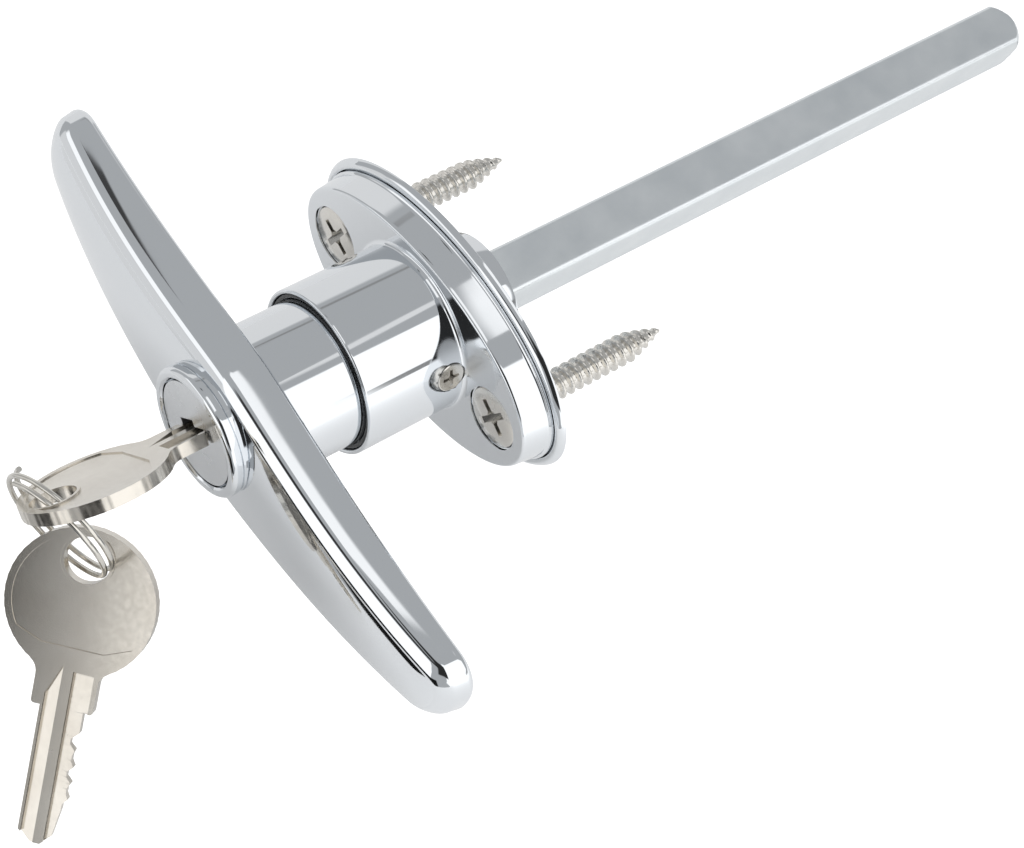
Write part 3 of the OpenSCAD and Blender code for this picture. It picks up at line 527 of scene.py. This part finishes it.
def wound_wire(name, sizes, places, material):
    """Coils of wire from one tree, one at each place, as a single mesh."""
    group = bpy.data.node_groups.new(name, "GeometryNodeTree")
    for label in ("Turns", "Radius", "Rise", "Wire radius"):
        group.interface.new_socket(label, in_out="INPUT", socket_type="NodeSocketFloat")
    group.interface.new_socket("Steps", in_out="INPUT", socket_type="NodeSocketInt")
    group.interface.new_socket("Material", in_out="INPUT", socket_type="NodeSocketMaterial")
    group.interface.new_socket("Coil", in_out="OUTPUT", socket_type="NodeSocketGeometry")
    given = add(group, "NodeGroupInput").outputs
    path = add(group, "GeometryNodeCurveSpiral", {
        "Resolution": given["Steps"], "Rotations": given["Turns"], "Start Radius": given["Radius"],
        "End Radius": given["Radius"], "Height": given["Rise"], "Reverse": True})
    wire = add(group, "GeometryNodeCurvePrimitiveCircle", {"Resolution": 16, "Radius": given["Wire radius"]})
    tube = add(group, "GeometryNodeCurveToMesh", {
        "Curve": path.outputs["Curve"], "Profile Curve": wire.outputs["Curve"], "Fill Caps": True})
    smooth = add(group, "GeometryNodeSetShadeSmooth", {"Geometry": tube.outputs["Mesh"]})
    real = add(group, "GeometryNodeRealizeInstances", {"Geometry": smooth.outputs["Geometry"]})
    painted = add(group, "GeometryNodeSetMaterial", {
        "Geometry": real.outputs["Geometry"], "Material": given["Material"]})
    add(group, "NodeGroupOutput", {"Coil": painted.outputs["Geometry"]})
    holder = grown(name, group, dict(sizes, Material=material))
    whole = bmesh.new()
    for place in places:
        coil = holder.data.copy()
        coil.transform(place)
        whole.from_mesh(coil)
    whole.to_mesh(holder.data)
    whole.free()
    holder.data.materials.clear()
    tidy_mesh(holder, 50)
    return holder


SPRING_START, SPRING_Z, SPRING_LEN, SPRING_TURNS, SPRING_R, SPRING_WIRE_R = -2.7, 3.12, 4.17, 9.0, 0.37, 0.07
spring_places = [PLUG_TURN @ Matrix.Translation((SPRING_START * MM, y * MM, SPRING_Z * MM))
                 @ Matrix.Rotation(radians(90), 4, "Y") for y in WAFER_Y]
springs = wound_wire("wafer_spring_coils", {
    "Turns": SPRING_TURNS, "Radius": SPRING_R * MM, "Rise": SPRING_LEN * MM,
    "Wire radius": SPRING_WIRE_R * MM, "Steps": 14}, spring_places, steel)
dress(springs, steel, "plug", "steel", *[f"wafer_spring_{i + 1}" for i in range(WAFER_COUNT)])


# Screws
# Nickel plated steel: two countersunk cross-recess screws with rolled threads hold the flange to the door,
# and a small screw in the tube's side keeps the spindle in.
nickel_steel = plated_metal("nickel_plated_screw_steel", "#DFDCD6", (0.16, 0.3), 1.5, 0.012)


def screw_thread():
    """A tree for a threaded shank with a point: a cylinder whose radius follows the thread's helix."""
    flank_from, flank_to, tip_share, point_curve = 0.16, 0.44, 0.04, 0.7
    group = bpy.data.node_groups.new("screw_thread", "GeometryNodeTree")
    for label in ("Core radius", "Thread height", "Pitch", "Length", "Point length"):
        group.interface.new_socket(label, in_out="INPUT", socket_type="NodeSocketFloat")
    group.interface.new_socket("Material", in_out="INPUT", socket_type="NodeSocketMaterial")
    group.interface.new_socket("Thread", in_out="OUTPUT", socket_type="NodeSocketGeometry")
    given = add(group, "NodeGroupInput").outputs
    shank = add(group, "GeometryNodeMeshCylinder", {
        "Vertices": 56, "Side Segments": 230, "Radius": 1.0, "Depth": given["Length"]})
    position = add(group, "GeometryNodeInputPosition").outputs["Position"]
    spot = add(group, "ShaderNodeSeparateXYZ", {"Vector": position}).outputs
    run = calc(group, "ADD", spot["Z"], calc(group, "MULTIPLY", given["Length"], 0.5))
    turns = calc(group, "DIVIDE", calc(group, "ARCTAN2", spot["Y"], spot["X"]), 2 * pi)
    pitches = calc(group, "DIVIDE", run, given["Pitch"])
    flank = calc(group, "PINGPONG", calc(group, "SUBTRACT", pitches, turns), 0.5)
    crest = add(group, "ShaderNodeMapRange", {
        "Value": flank, "From Min": flank_from, "From Max": flank_to, "To Min": 0.0, "To Max": 1.0},
        interpolation_type="SMOOTHSTEP").outputs["Result"]
    taper = add(group, "ShaderNodeMapRange", {
        "Value": calc(group, "SUBTRACT", given["Length"], run), "From Min": 0.0,
        "From Max": given["Point length"], "To Min": tip_share, "To Max": 1.0}).outputs["Result"]
    reach = calc(group, "ADD", calc(group, "MULTIPLY", crest, given["Thread height"]), given["Core radius"])
    reach = calc(group, "MULTIPLY", reach, calc(group, "POWER", taper, point_curve))
    moved = add(group, "ShaderNodeCombineXYZ", {
        "X": calc(group, "MULTIPLY", spot["X"], reach),
        "Y": calc(group, "MULTIPLY", spot["Y"], reach), "Z": run})
    shaped = add(group, "GeometryNodeSetPosition", {
        "Geometry": shank.outputs["Mesh"], "Position": moved.outputs["Vector"]})
    real = add(group, "GeometryNodeRealizeInstances", {"Geometry": shaped.outputs["Geometry"]})
    painted = add(group, "GeometryNodeSetMaterial", {
        "Geometry": real.outputs["Geometry"], "Material": given["Material"]})
    add(group, "NodeGroupOutput", {"Thread": painted.outputs["Geometry"]})
    return group


def cross_recess(head_r, depth):
    """The tool for a cross recess in a face at y 0: a cone and two tapered bars that narrow inwards."""
    cone, cone_end, end_share = 0.24 * head_r, 0.12 * head_r, 0.45
    bar_w, bar_len = 0.11 * head_r, 0.62 * head_r
    recess = lathe("recess", [(cone, -PAST), (cone, 0), (cone_end, depth)], 24)
    for long_side in (0, 2):
        rings = []
        for y, share in ((-PAST, 1), (0, 1), (depth, end_share)):
            half = [bar_w * (0.6 + 0.4 * share)] * 3
            half[long_side] = bar_len * share
            rings.append([(a * half[0], y, b * half[2]) for a, b in ((-1, -1), (1, -1), (1, 1), (-1, 1))])
        combine(recess, mesh_object("arm", *strip(rings)), "UNION")
    return recess


HEAD_R, HEAD_H, HEAD_SUNK, HEAD_EDGE, HEAD_RIM, HEAD_RECESS = 4.8, 2.4, 0.2, (0.15, 0.12), 0.4, 2.2
SHANK_R, NECK_R, NECK_Y, NECK_END, SCREW_TIP = 2.4, 2.2, -3.0, -2.2, 26.0
CORE_R, THREAD_PITCH, POINT_LEN = 1.72, 1.65, 6.5
STOP_RECESS = 1.2
head_face = FLANGE_FRONT + HEAD_SUNK
thread_tree = screw_thread()
for side, name, turn in ((-1, "left", 26), (1, "right", 35)):
    screw = lathe(f"mounting_screw_{name}_turned", [
        (HEAD_R - HEAD_EDGE[0], head_face), (HEAD_R, head_face + HEAD_EDGE[1]),
        (HEAD_R, FLANGE_FRONT + HEAD_RIM), (NECK_R, FLANGE_FRONT + HEAD_H), (NECK_R, NECK_END)], 96)
    recess = cross_recess(HEAD_R, HEAD_RECESS)
    recess.data.transform(Matrix.Translation((0, head_face * MM, 0)) @ Matrix.Rotation(radians(turn), 4, "Y"))
    combine(screw, recess)
    thread = grown("thread", thread_tree, {
        "Core radius": CORE_R * MM, "Thread height": (SHANK_R - CORE_R) * MM, "Pitch": THREAD_PITCH * MM,
        "Length": (SCREW_TIP - NECK_Y) * MM, "Point length": POINT_LEN * MM, "Material": nickel_steel})
    thread.data.transform(Matrix.Translation((0, NECK_Y * MM, 0)) @ Matrix.Rotation(radians(-90), 4, "X"))
    tidy_mesh(thread, 60)
    combine(screw, thread, "UNION", 60)
    screw.data.set_sharp_from_angle(angle=radians(40))
    screw.data.transform(Matrix.Translation((side * SCREW_X * MM, 0, 0)))
    dress(screw, nickel_steel, "housing", "screw_nickel", f"mounting_screw_{name}")

stop_screw = lathe("retaining_screw_turned", [
    (STOP_HEAD_R - HEAD_EDGE[0], 0), (STOP_HEAD_R, HEAD_EDGE[1]), (STOP_HEAD_R, STOP_HEAD_H),
    (STOP_SHANK_R, STOP_HEAD_H), (STOP_SHANK_R, STOP_FACE - STOP_TIP)], 64)
combine(stop_screw, cross_recess(STOP_HEAD_R, STOP_RECESS))
stop_screw.data.transform(STOP_PLACE)
dress(stop_screw, nickel_steel, "housing", "screw_nickel", "retaining_screw")


# Keys
# Two keys stamped from brass sheet and nickel plated: a round bow with a raised rim and a hole for the
# ring, and a blade with milled grooves and one cut for each wafer.
KEY_T, BOW_R, BOW_Z, BOW_STEPS, HOLE_R, KEY_BEVEL = 2.0, 11.1, -6.4, 150, 3.46, 0.1
NECK_HALF_W, NECK_FILLET, SHOULDER_Z, SHOULDER_R, BLADE_HALF_W, TIP_Z = 4.6, 2.5, -22.4, 0.5, 3.2, -43.2
# Corners of the blade's tip: distance from its middle line, and height over its end
TIP_LINE = ((-BLADE_HALF_W, 1.6), (-1.28, 0), (0.32, 0), (BLADE_HALF_W - 1.4, 1.48))
BITE_DEPTHS, BITE_FIRST, BITE_PITCH, BITE_FLAT, BITE_SLOPE = (1.1, 0.5, 0.8, 0.4, 0.7), 4.6, 2.5, 0.8, 0.85
# Marks of the punch round the bow, and its faces: slightly hollow, with a rim and a step over the neck
EDGE_MARK, HOLLOW_X, HOLLOW_R = 0.05, -2.0, 120.0
RIM_W, RIM_H, RIM_START, STEP_Z, STEP_HALF_W, HOLE_RIM_W = 1.1, 0.22, 1.6, -13.2, 4.6, 0.5
# The left groove's outline and depth, the cut right of the rib, and how far their floors lean
GROOVE_LEFT, GROOVE_RIGHT, GROOVE_ENDS, GROOVE_DEPTH, GROOVE_LEAN = -2.8, -0.75, (-20.5, -15.9), 0.08, 0.2
MILL_LEFT, MILL_RIGHT, MILL_TOP, MILL_DEPTH, MILL_LEAN = 0.8, 3.9, -16.6, 0.75, 0.13
MILL_STEPS, MILL_MARK, MILL_REACH = 60, 0.06, 2
# Below the shoulder by this much, the cut opens past the blade's edge
MILL_DROP, MILL_OPEN = 0.3, 6
# Widths of the strokes and of the cloudy patches in the nickel
STROKE_W, STROKE_DEPTH, PATCH_W = 0.9, 0.003, 11

nickel, tree, place = new_material("nickel_plated_brass")
stroke = add(tree, "ShaderNodeTexNoise", {"Vector": place, "Scale": 1 / (STROKE_W * MM), "Detail": 5.0})
cloud = add(tree, "ShaderNodeTexNoise", {"Vector": place, "Scale": 1 / (PATCH_W * MM), "Detail": 3.0})
tone = toned(tree, cloud.outputs["Fac"], ((0.35, "#D8D2C8"), (0.65, "#E4DFD6")))
rough = add(tree, "ShaderNodeMapRange", {"Value": stroke.outputs["Fac"], "To Min": 0.14, "To Max": 0.32})
flat = add(tree, "ShaderNodeUVMap", uv_map="face")
aside = add(tree, "ShaderNodeSeparateXYZ", {"Vector": flat.outputs["UV"]}).outputs["X"]
hollow = calc(tree, "POWER", calc(tree, "SUBTRACT", aside, HOLLOW_X), 2.0)
hollow = add(tree, "ShaderNodeBump", {"Distance": MM / (2 * HOLLOW_R), "Height": hollow})
bump = add(tree, "ShaderNodeBump", {
    "Distance": STROKE_DEPTH * MM, "Height": stroke.outputs["Fac"], "Normal": hollow.outputs["Normal"]})
shader = add(tree, "ShaderNodeBsdfPrincipled", {
    "Base Color": tone, "Metallic": 1.0, "Roughness": rough.outputs["Result"],
    "Normal": bump.outputs["Normal"]})
add(tree, "ShaderNodeOutputMaterial", {"Surface": shader.outputs["BSDF"]})


def plate(name, line, low, high):
    """A flat plate from an outline in X and Z, between two heights along Y."""
    return mesh_object(name, *strip([[(x, y, z) for x, z in line] for y in (low, high)]))


def key_outline():
    """Outline of a key with its hole at the origin and its blade down Z, from the neck over the bow."""
    reach = sqrt((BOW_R + NECK_FILLET) ** 2 - (NECK_HALF_W + NECK_FILLET) ** 2)
    fillet_z = BOW_Z - reach
    lean = degrees(asin((NECK_HALF_W + NECK_FILLET) / (BOW_R + NECK_FILLET)))
    line = arc(NECK_HALF_W + NECK_FILLET, fillet_z, NECK_FILLET, 180, 90 + lean, 6)
    for i, (x, z) in enumerate(arc(0, 0, 1, lean - 90, 270 - lean, BOW_STEPS)):
        reach = BOW_R - EDGE_MARK * (i * 3 % 4) / 3
        line.append((reach * x, BOW_Z + reach * z))
    line += arc(-NECK_HALF_W - NECK_FILLET, fillet_z, NECK_FILLET, 90 - lean, 0, 6)
    line += arc(SHOULDER_R - NECK_HALF_W, SHOULDER_Z + SHOULDER_R, SHOULDER_R, 180, 270, 4)
    line += [(-BLADE_HALF_W, SHOULDER_Z)] + [(x, TIP_Z + height) for x, height in TIP_LINE]
    for i in range(len(BITE_DEPTHS) - 1, -1, -1):
        z, depth = SHOULDER_Z - BITE_FIRST - i * BITE_PITCH, BLADE_HALF_W - BITE_DEPTHS[i]
        line += [(depth, z - BITE_FLAT / 2), (depth, z + BITE_FLAT / 2)]
        if i:
            deeper = max(BITE_DEPTHS[i], BITE_DEPTHS[i - 1])
            line.append((BLADE_HALF_W - max(0, deeper - BITE_SLOPE), z + BITE_PITCH / 2))
    first_end = SHOULDER_Z - BITE_FIRST + BITE_FLAT / 2 + BITE_DEPTHS[0]
    line += [(BLADE_HALF_W, first_end), (BLADE_HALF_W, SHOULDER_Z)]
    line += arc(NECK_HALF_W - SHOULDER_R, SHOULDER_Z + SHOULDER_R, SHOULDER_R, 270, 360, 4)
    return line


def leaning(lean):
    """A matrix that tilts a floor across the blade."""
    return Matrix(((1, 0, 0, 0), (lean, 1, 0, 0), (0, 0, 1, 0), (0, 0, 0, 1)))


def milled(side):
    """The tool for the wide cut beside the rib, with the marks of the cutter across its floor."""
    rings = []
    for i in range(MILL_STEPS + 1):
        z = TIP_Z - PAST + (MILL_TOP - TIP_Z + PAST) * i / MILL_STEPS
        floor = side * (KEY_T / 2 - MILL_DEPTH + MILL_MARK * (i % 2))
        right = MILL_OPEN if z < SHOULDER_Z - MILL_DROP else MILL_RIGHT
        rings.append([(MILL_LEFT, floor, z), (right, floor, z),
                      (right, side * MILL_REACH, z), (MILL_LEFT, side * MILL_REACH, z)])
    tool = mesh_object("milled", *strip(rings))
    tool.data.transform(leaning(side * MILL_LEAN))
    return tool


def key_shape(name):
    """A key with its hole at the origin, its blade down Z and its cuts towards +X."""
    key = plate(name, key_outline(), -KEY_T / 2, KEY_T / 2)
    turn = degrees(asin((BOW_Z - STEP_Z - RIM_START) / (BOW_R - RIM_W)))
    recess = arc(0, BOW_Z, BOW_R - RIM_W, -turn, 180 + turn, 72)
    recess += [(-STEP_HALF_W, STEP_Z), (STEP_HALF_W, STEP_Z)]
    groove_line = [(GROOVE_LEFT, TIP_Z - PAST), (GROOVE_RIGHT, TIP_Z - PAST), (GROOVE_RIGHT, GROOVE_ENDS[1]),
                   (GROOVE_LEFT, GROOVE_ENDS[0])]
    for side in (-1, 1):
        over = side * (KEY_T / 2 + PAST)
        low, high = sorted((side * (KEY_T / 2 - RIM_H), over))
        pocket = plate("pocket", recess, low, high)
        combine(pocket, plate("ring", arc(0, 0, HOLE_R + HOLE_RIM_W, 0, 350, 35), low - PAST, high + PAST))
        combine(key, pocket)
        groove = plate("groove", groove_line, *sorted((side * (KEY_T / 2 - GROOVE_DEPTH), over)))
        groove.data.transform(leaning(side * GROOVE_LEAN))
        combine(key, groove)
        combine(key, milled(side))
    combine(key, plate("hole", arc(0, 0, HOLE_R, 0, 352, 44), -KEY_T / 2 - 2 * PAST, KEY_T / 2 + 2 * PAST))
    edge = key.modifiers.new("edge", "BEVEL")
    edge.width = KEY_BEVEL * MM
    edge.segments = 2
    edge.limit_method = "ANGLE"
    edge.angle_limit = radians(40)
    soft = bpy.data.meshes.new_from_object(key.evaluated_get(bpy.context.evaluated_depsgraph_get()))
    key.modifiers.remove(edge)
    key.data = soft
    tidy_mesh(key, 15)
    face = key.data.uv_layers.new(name="face")
    for loop in key.data.loops:
        x, _, z = key.data.vertices[loop.vertex_index].co
        face.data[loop.index].uv = (x / MM, z / MM)
    return key


KEY_HOLE_Y = -66.5
key = key_shape("key_stamping")
key.data.transform(PLUG_TURN @ Matrix.Translation((0, KEY_HOLE_Y * MM, 0))
                   @ Matrix.Rotation(radians(90), 4, "X"))
dress(key, nickel, "key", "nickel_plated_brass", "key")


# Split ring
# Bright nickel plated wire wound nearly twice, hooked through the bows of both keys.
RING_R, RING_WIRE_R, RING_TURNS, RING_PITCH, RING_START = 9.34, 0.41, 1.94, 1.4, 150
RING_PLACE, RING_LEAN = (-1.3189, -65.0852, -7.9197), (100.7, 0, 14.5)


def placed(place, lean):
    """A matrix for a place in millimetres and turns about X, Y and Z in degrees."""
    turns = [Matrix.Rotation(radians(angle), 4, axis) for angle, axis in zip(lean, "XYZ")]
    return Matrix.Translation([c * MM for c in place]) @ turns[2] @ turns[1] @ turns[0]


nickel_wire = plated_metal("nickel_plated_wire", "#D8D5CE", (0.1, 0.2), 2, 0.006)
ring_rise = RING_PITCH * RING_TURNS
ring_place = (placed(RING_PLACE, RING_LEAN) @ Matrix.Translation((0, 0, -ring_rise / 2 * MM))
              @ Matrix.Rotation(radians(RING_START), 4, "Z"))
ring = wound_wire("split_ring_wire", {
    "Turns": RING_TURNS, "Radius": RING_R * MM, "Rise": ring_rise * MM,
    "Wire radius": RING_WIRE_R * MM, "Steps": 90}, [ring_place], nickel_wire)
dress(ring, nickel_wire, "ring", "nickel_plated_steel", "split_ring")


# Spare key
# The same key, hanging on the split ring.
SPARE_PLACE, SPARE_LEAN = (2.1015, -62.1833, -14.7553), (-41.6, -3.8, 40.2)
spare = key_shape("spare_key_stamping")
spare.data.transform(placed(SPARE_PLACE, SPARE_LEAN))
dress(spare, nickel, "spare_key", "nickel_plated_brass", "spare_key")


# Studio
# A white floor and backdrop, soft panels and dark cards round the object, and the camera at the photograph's
# angle. Lengths here are in metres.
FLOOR_Z, FLOOR_SIDE, FLOOR_FRONT, FLOOR_BACK = -0.05, 0.6, -0.092, 0.8
# The paper keeps the object's shadow. It shines for the camera and in the chrome, with painted light that
# grows towards the right as if the right softbox lit it, and a painted shadow of the handle round a spot
# below it.
SHINE_FROM, SHINE_TO, SHINE_LOW, SHINE_HIGH = 0.02, 0.3, 1.4, 3.0
SHADE_SPOT, SHADE_FULL, SHADE_CLEAR = (-0.01, -0.04, FLOOR_Z), 0.02, 0.06
SHADED_SHARE, CHROME_SHARE, CAMERA_SHARE = 0.06, 0.32, 0.9
floor_material, tree, place = new_material("white_paper")
paper = add(tree, "ShaderNodeBsdfDiffuse", {"Color": linear("#F2F2F2")})
# Painted light: the paper's glow grows towards the right, where the right softbox stands
rightwards = add(tree, "ShaderNodeSeparateXYZ", {"Vector": place}).outputs["X"]
shine = add(tree, "ShaderNodeMapRange", {
    "Value": rightwards, "From Min": SHINE_FROM, "From Max": SHINE_TO,
    "To Min": SHINE_LOW, "To Max": SHINE_HIGH})
white = add(tree, "ShaderNodeEmission", {"Strength": shine.outputs["Result"]})
rays = add(tree, "ShaderNodeLightPath").outputs
seen = calc(tree, "MAXIMUM", rays["Is Glossy Ray"], rays["Is Transmission Ray"])
seen = calc(tree, "MAXIMUM", rays["Is Camera Ray"], seen)
# Painted shadow: round a spot below the handle the chrome sees less of the paper's glow, standing in for the
# handle's shadow
away = add(tree, "ShaderNodeVectorMath", {0: place, 1: SHADE_SPOT}, operation="DISTANCE").outputs["Value"]
shade = add(tree, "ShaderNodeMapRange", {
    "Value": away, "From Min": SHADE_FULL, "From Max": SHADE_CLEAR,
    "To Min": SHADED_SHARE, "To Max": CHROME_SHARE}, interpolation_type="SMOOTHSTEP")
share = add(tree, "ShaderNodeMapRange", {
    "Value": rays["Is Camera Ray"], "To Min": shade.outputs["Result"], "To Max": CAMERA_SHARE})
share = calc(tree, "MULTIPLY", seen, share.outputs["Result"])
mixed = add(tree, "ShaderNodeMixShader", {0: share, 1: paper.outputs["BSDF"], 2: white.outputs["Emission"]})
add(tree, "ShaderNodeOutputMaterial", {"Surface": mixed.outputs["Shader"]})
floor_mesh = bpy.data.meshes.new("floor")
floor_mesh.from_pydata([
    (-FLOOR_SIDE, FLOOR_FRONT, FLOOR_Z), (FLOOR_SIDE, FLOOR_FRONT, FLOOR_Z),
    (FLOOR_SIDE, FLOOR_BACK, FLOOR_Z), (-FLOOR_SIDE, FLOOR_BACK, FLOOR_Z)], [], [(0, 1, 2, 3)])
floor_mesh.materials.append(floor_material)
floor = bpy.data.objects.new("floor", floor_mesh)
bpy.context.scene.collection.objects.link(floor)

world = bpy.data.worlds.new("studio")
bpy.context.scene.world = world
world.use_nodes = True
tree = world.node_tree
tree.nodes.clear()
way = add(tree, "ShaderNodeTexCoord").outputs["Generated"]


def panel(behind, level, azimuth, elevation, half_w, half_h, soft, roll):
    """Light of a soft rectangular panel before what is behind; azimuth 0 is the front and 90 the right."""
    az, el, lean = radians(azimuth), radians(elevation), radians(roll)
    facing = Vector((sin(az) * cos(el), -cos(az) * cos(el), sin(el)))
    level_side = Vector((cos(az), sin(az), 0))
    upright = facing.cross(level_side)
    across = level_side * cos(lean) + upright * sin(lean)
    over = upright * cos(lean) - level_side * sin(lean)
    depth = add(tree, "ShaderNodeVectorMath", {0: way, 1: facing}, operation="DOT_PRODUCT").outputs["Value"]
    mask = calc(tree, "GREATER_THAN", depth, 0.0)
    for axis, half in ((across, half_w), (over, half_h)):
        off = add(tree, "ShaderNodeVectorMath", {0: way, 1: axis}, operation="DOT_PRODUCT").outputs["Value"]
        off = calc(tree, "ABSOLUTE", calc(tree, "DIVIDE", off, depth))
        edge = add(tree, "ShaderNodeMapRange", {
            "Value": off, "From Min": half * (1 - soft), "From Max": half, "To Min": 1.0, "To Max": 0.0},
            interpolation_type="SMOOTHSTEP")
        mask = calc(tree, "MULTIPLY", mask, edge.outputs["Result"])
    return add(tree, "ShaderNodeMix", {"Factor": mask, 6: behind, 7: (level, level, level, 1)},
               data_type="RGBA").outputs[2]


# Panels, each in front of those above it: level, azimuth and elevation in degrees, half width and half height
# at a distance of 1, softness of the edge, and roll in degrees
PANELS = (
    (0.82, -118, -5, 0.7, 0.84, 0.15, 0),           # left wall
    (0.3, -124, 40, 0.25, 0.035, 0.6, 0),           # its dark upper edge
    (1.15, 0, 86, 0.25, 0.365, 0.08, 0),            # softbox overhead
    (1.3, 98, 12, 0.8, 1.075, 0.05, -25),           # large softbox at the right
    (0.3, 130.3, 6, 0.29, 0.05, 0.1, 0),            # dark line across it
    (0.85, 147, 59, 0.1, 0.04, 0.5, 0),             # streak beside it
    (0.78, -40, -18, 0.45, 0.5, 0.2, 0),            # pale backdrop at the front left
    (1.2, -36, 14, 0.42, 0.15, 0.3, 0),             # strip light at the front left
    (1.3, 0, 3, 0.36, 0.42, 0.04, 0),               # softbox in front
    (0.01, 4, -32, 0.51, 0.22, 0.1, 0),             # dark card below it
    (0.04, 12, 31.5, 0.4, 0.1, 0.3, 0),             # dark card above it
    (0.06, -106, 60.5, 0.108, 0.048, 0.15, 0),      # dark corner at the upper left
    (0.03, 50, 31, 0.36, 0.55, 0.2, 0),             # dark side of the room, behind the camera
)
ROOM_LIGHT = (0.46, 0.47, 0.48, 1)
light = ROOM_LIGHT
for values in PANELS:
    light = panel(light, *values)
seen = add(tree, "ShaderNodeLightPath").outputs["Is Camera Ray"]
shown = add(tree, "ShaderNodeMix", {"Factor": seen, 6: light, 7: (1, 1, 1, 1)}, data_type="RGBA").outputs[2]
sky = add(tree, "ShaderNodeBackground", {"Color": shown, "Strength": 1.0})
add(tree, "ShaderNodeOutputWorld", {"Surface": sky.outputs["Background"]})

# Place of the camera, its turns about X, Y and Z in degrees, and its lens in millimetres
CAMERA_PLACE, CAMERA_TURNS, CAMERA_LENS = (0.160295, -0.162907, 0.276273), (36.4383, -8.6413, 52.5025), 84.37
camera = bpy.data.objects.new("camera", bpy.data.cameras.new("camera"))
bpy.context.scene.collection.objects.link(camera)
camera.location = CAMERA_PLACE
camera.rotation_euler = [radians(turn) for turn in CAMERA_TURNS]
camera.data.sensor_width = 36
camera.data.lens = CAMERA_LENS
bpy.context.scene.camera = camera
bpy.context.scene.view_settings.view_transform = "Standard"
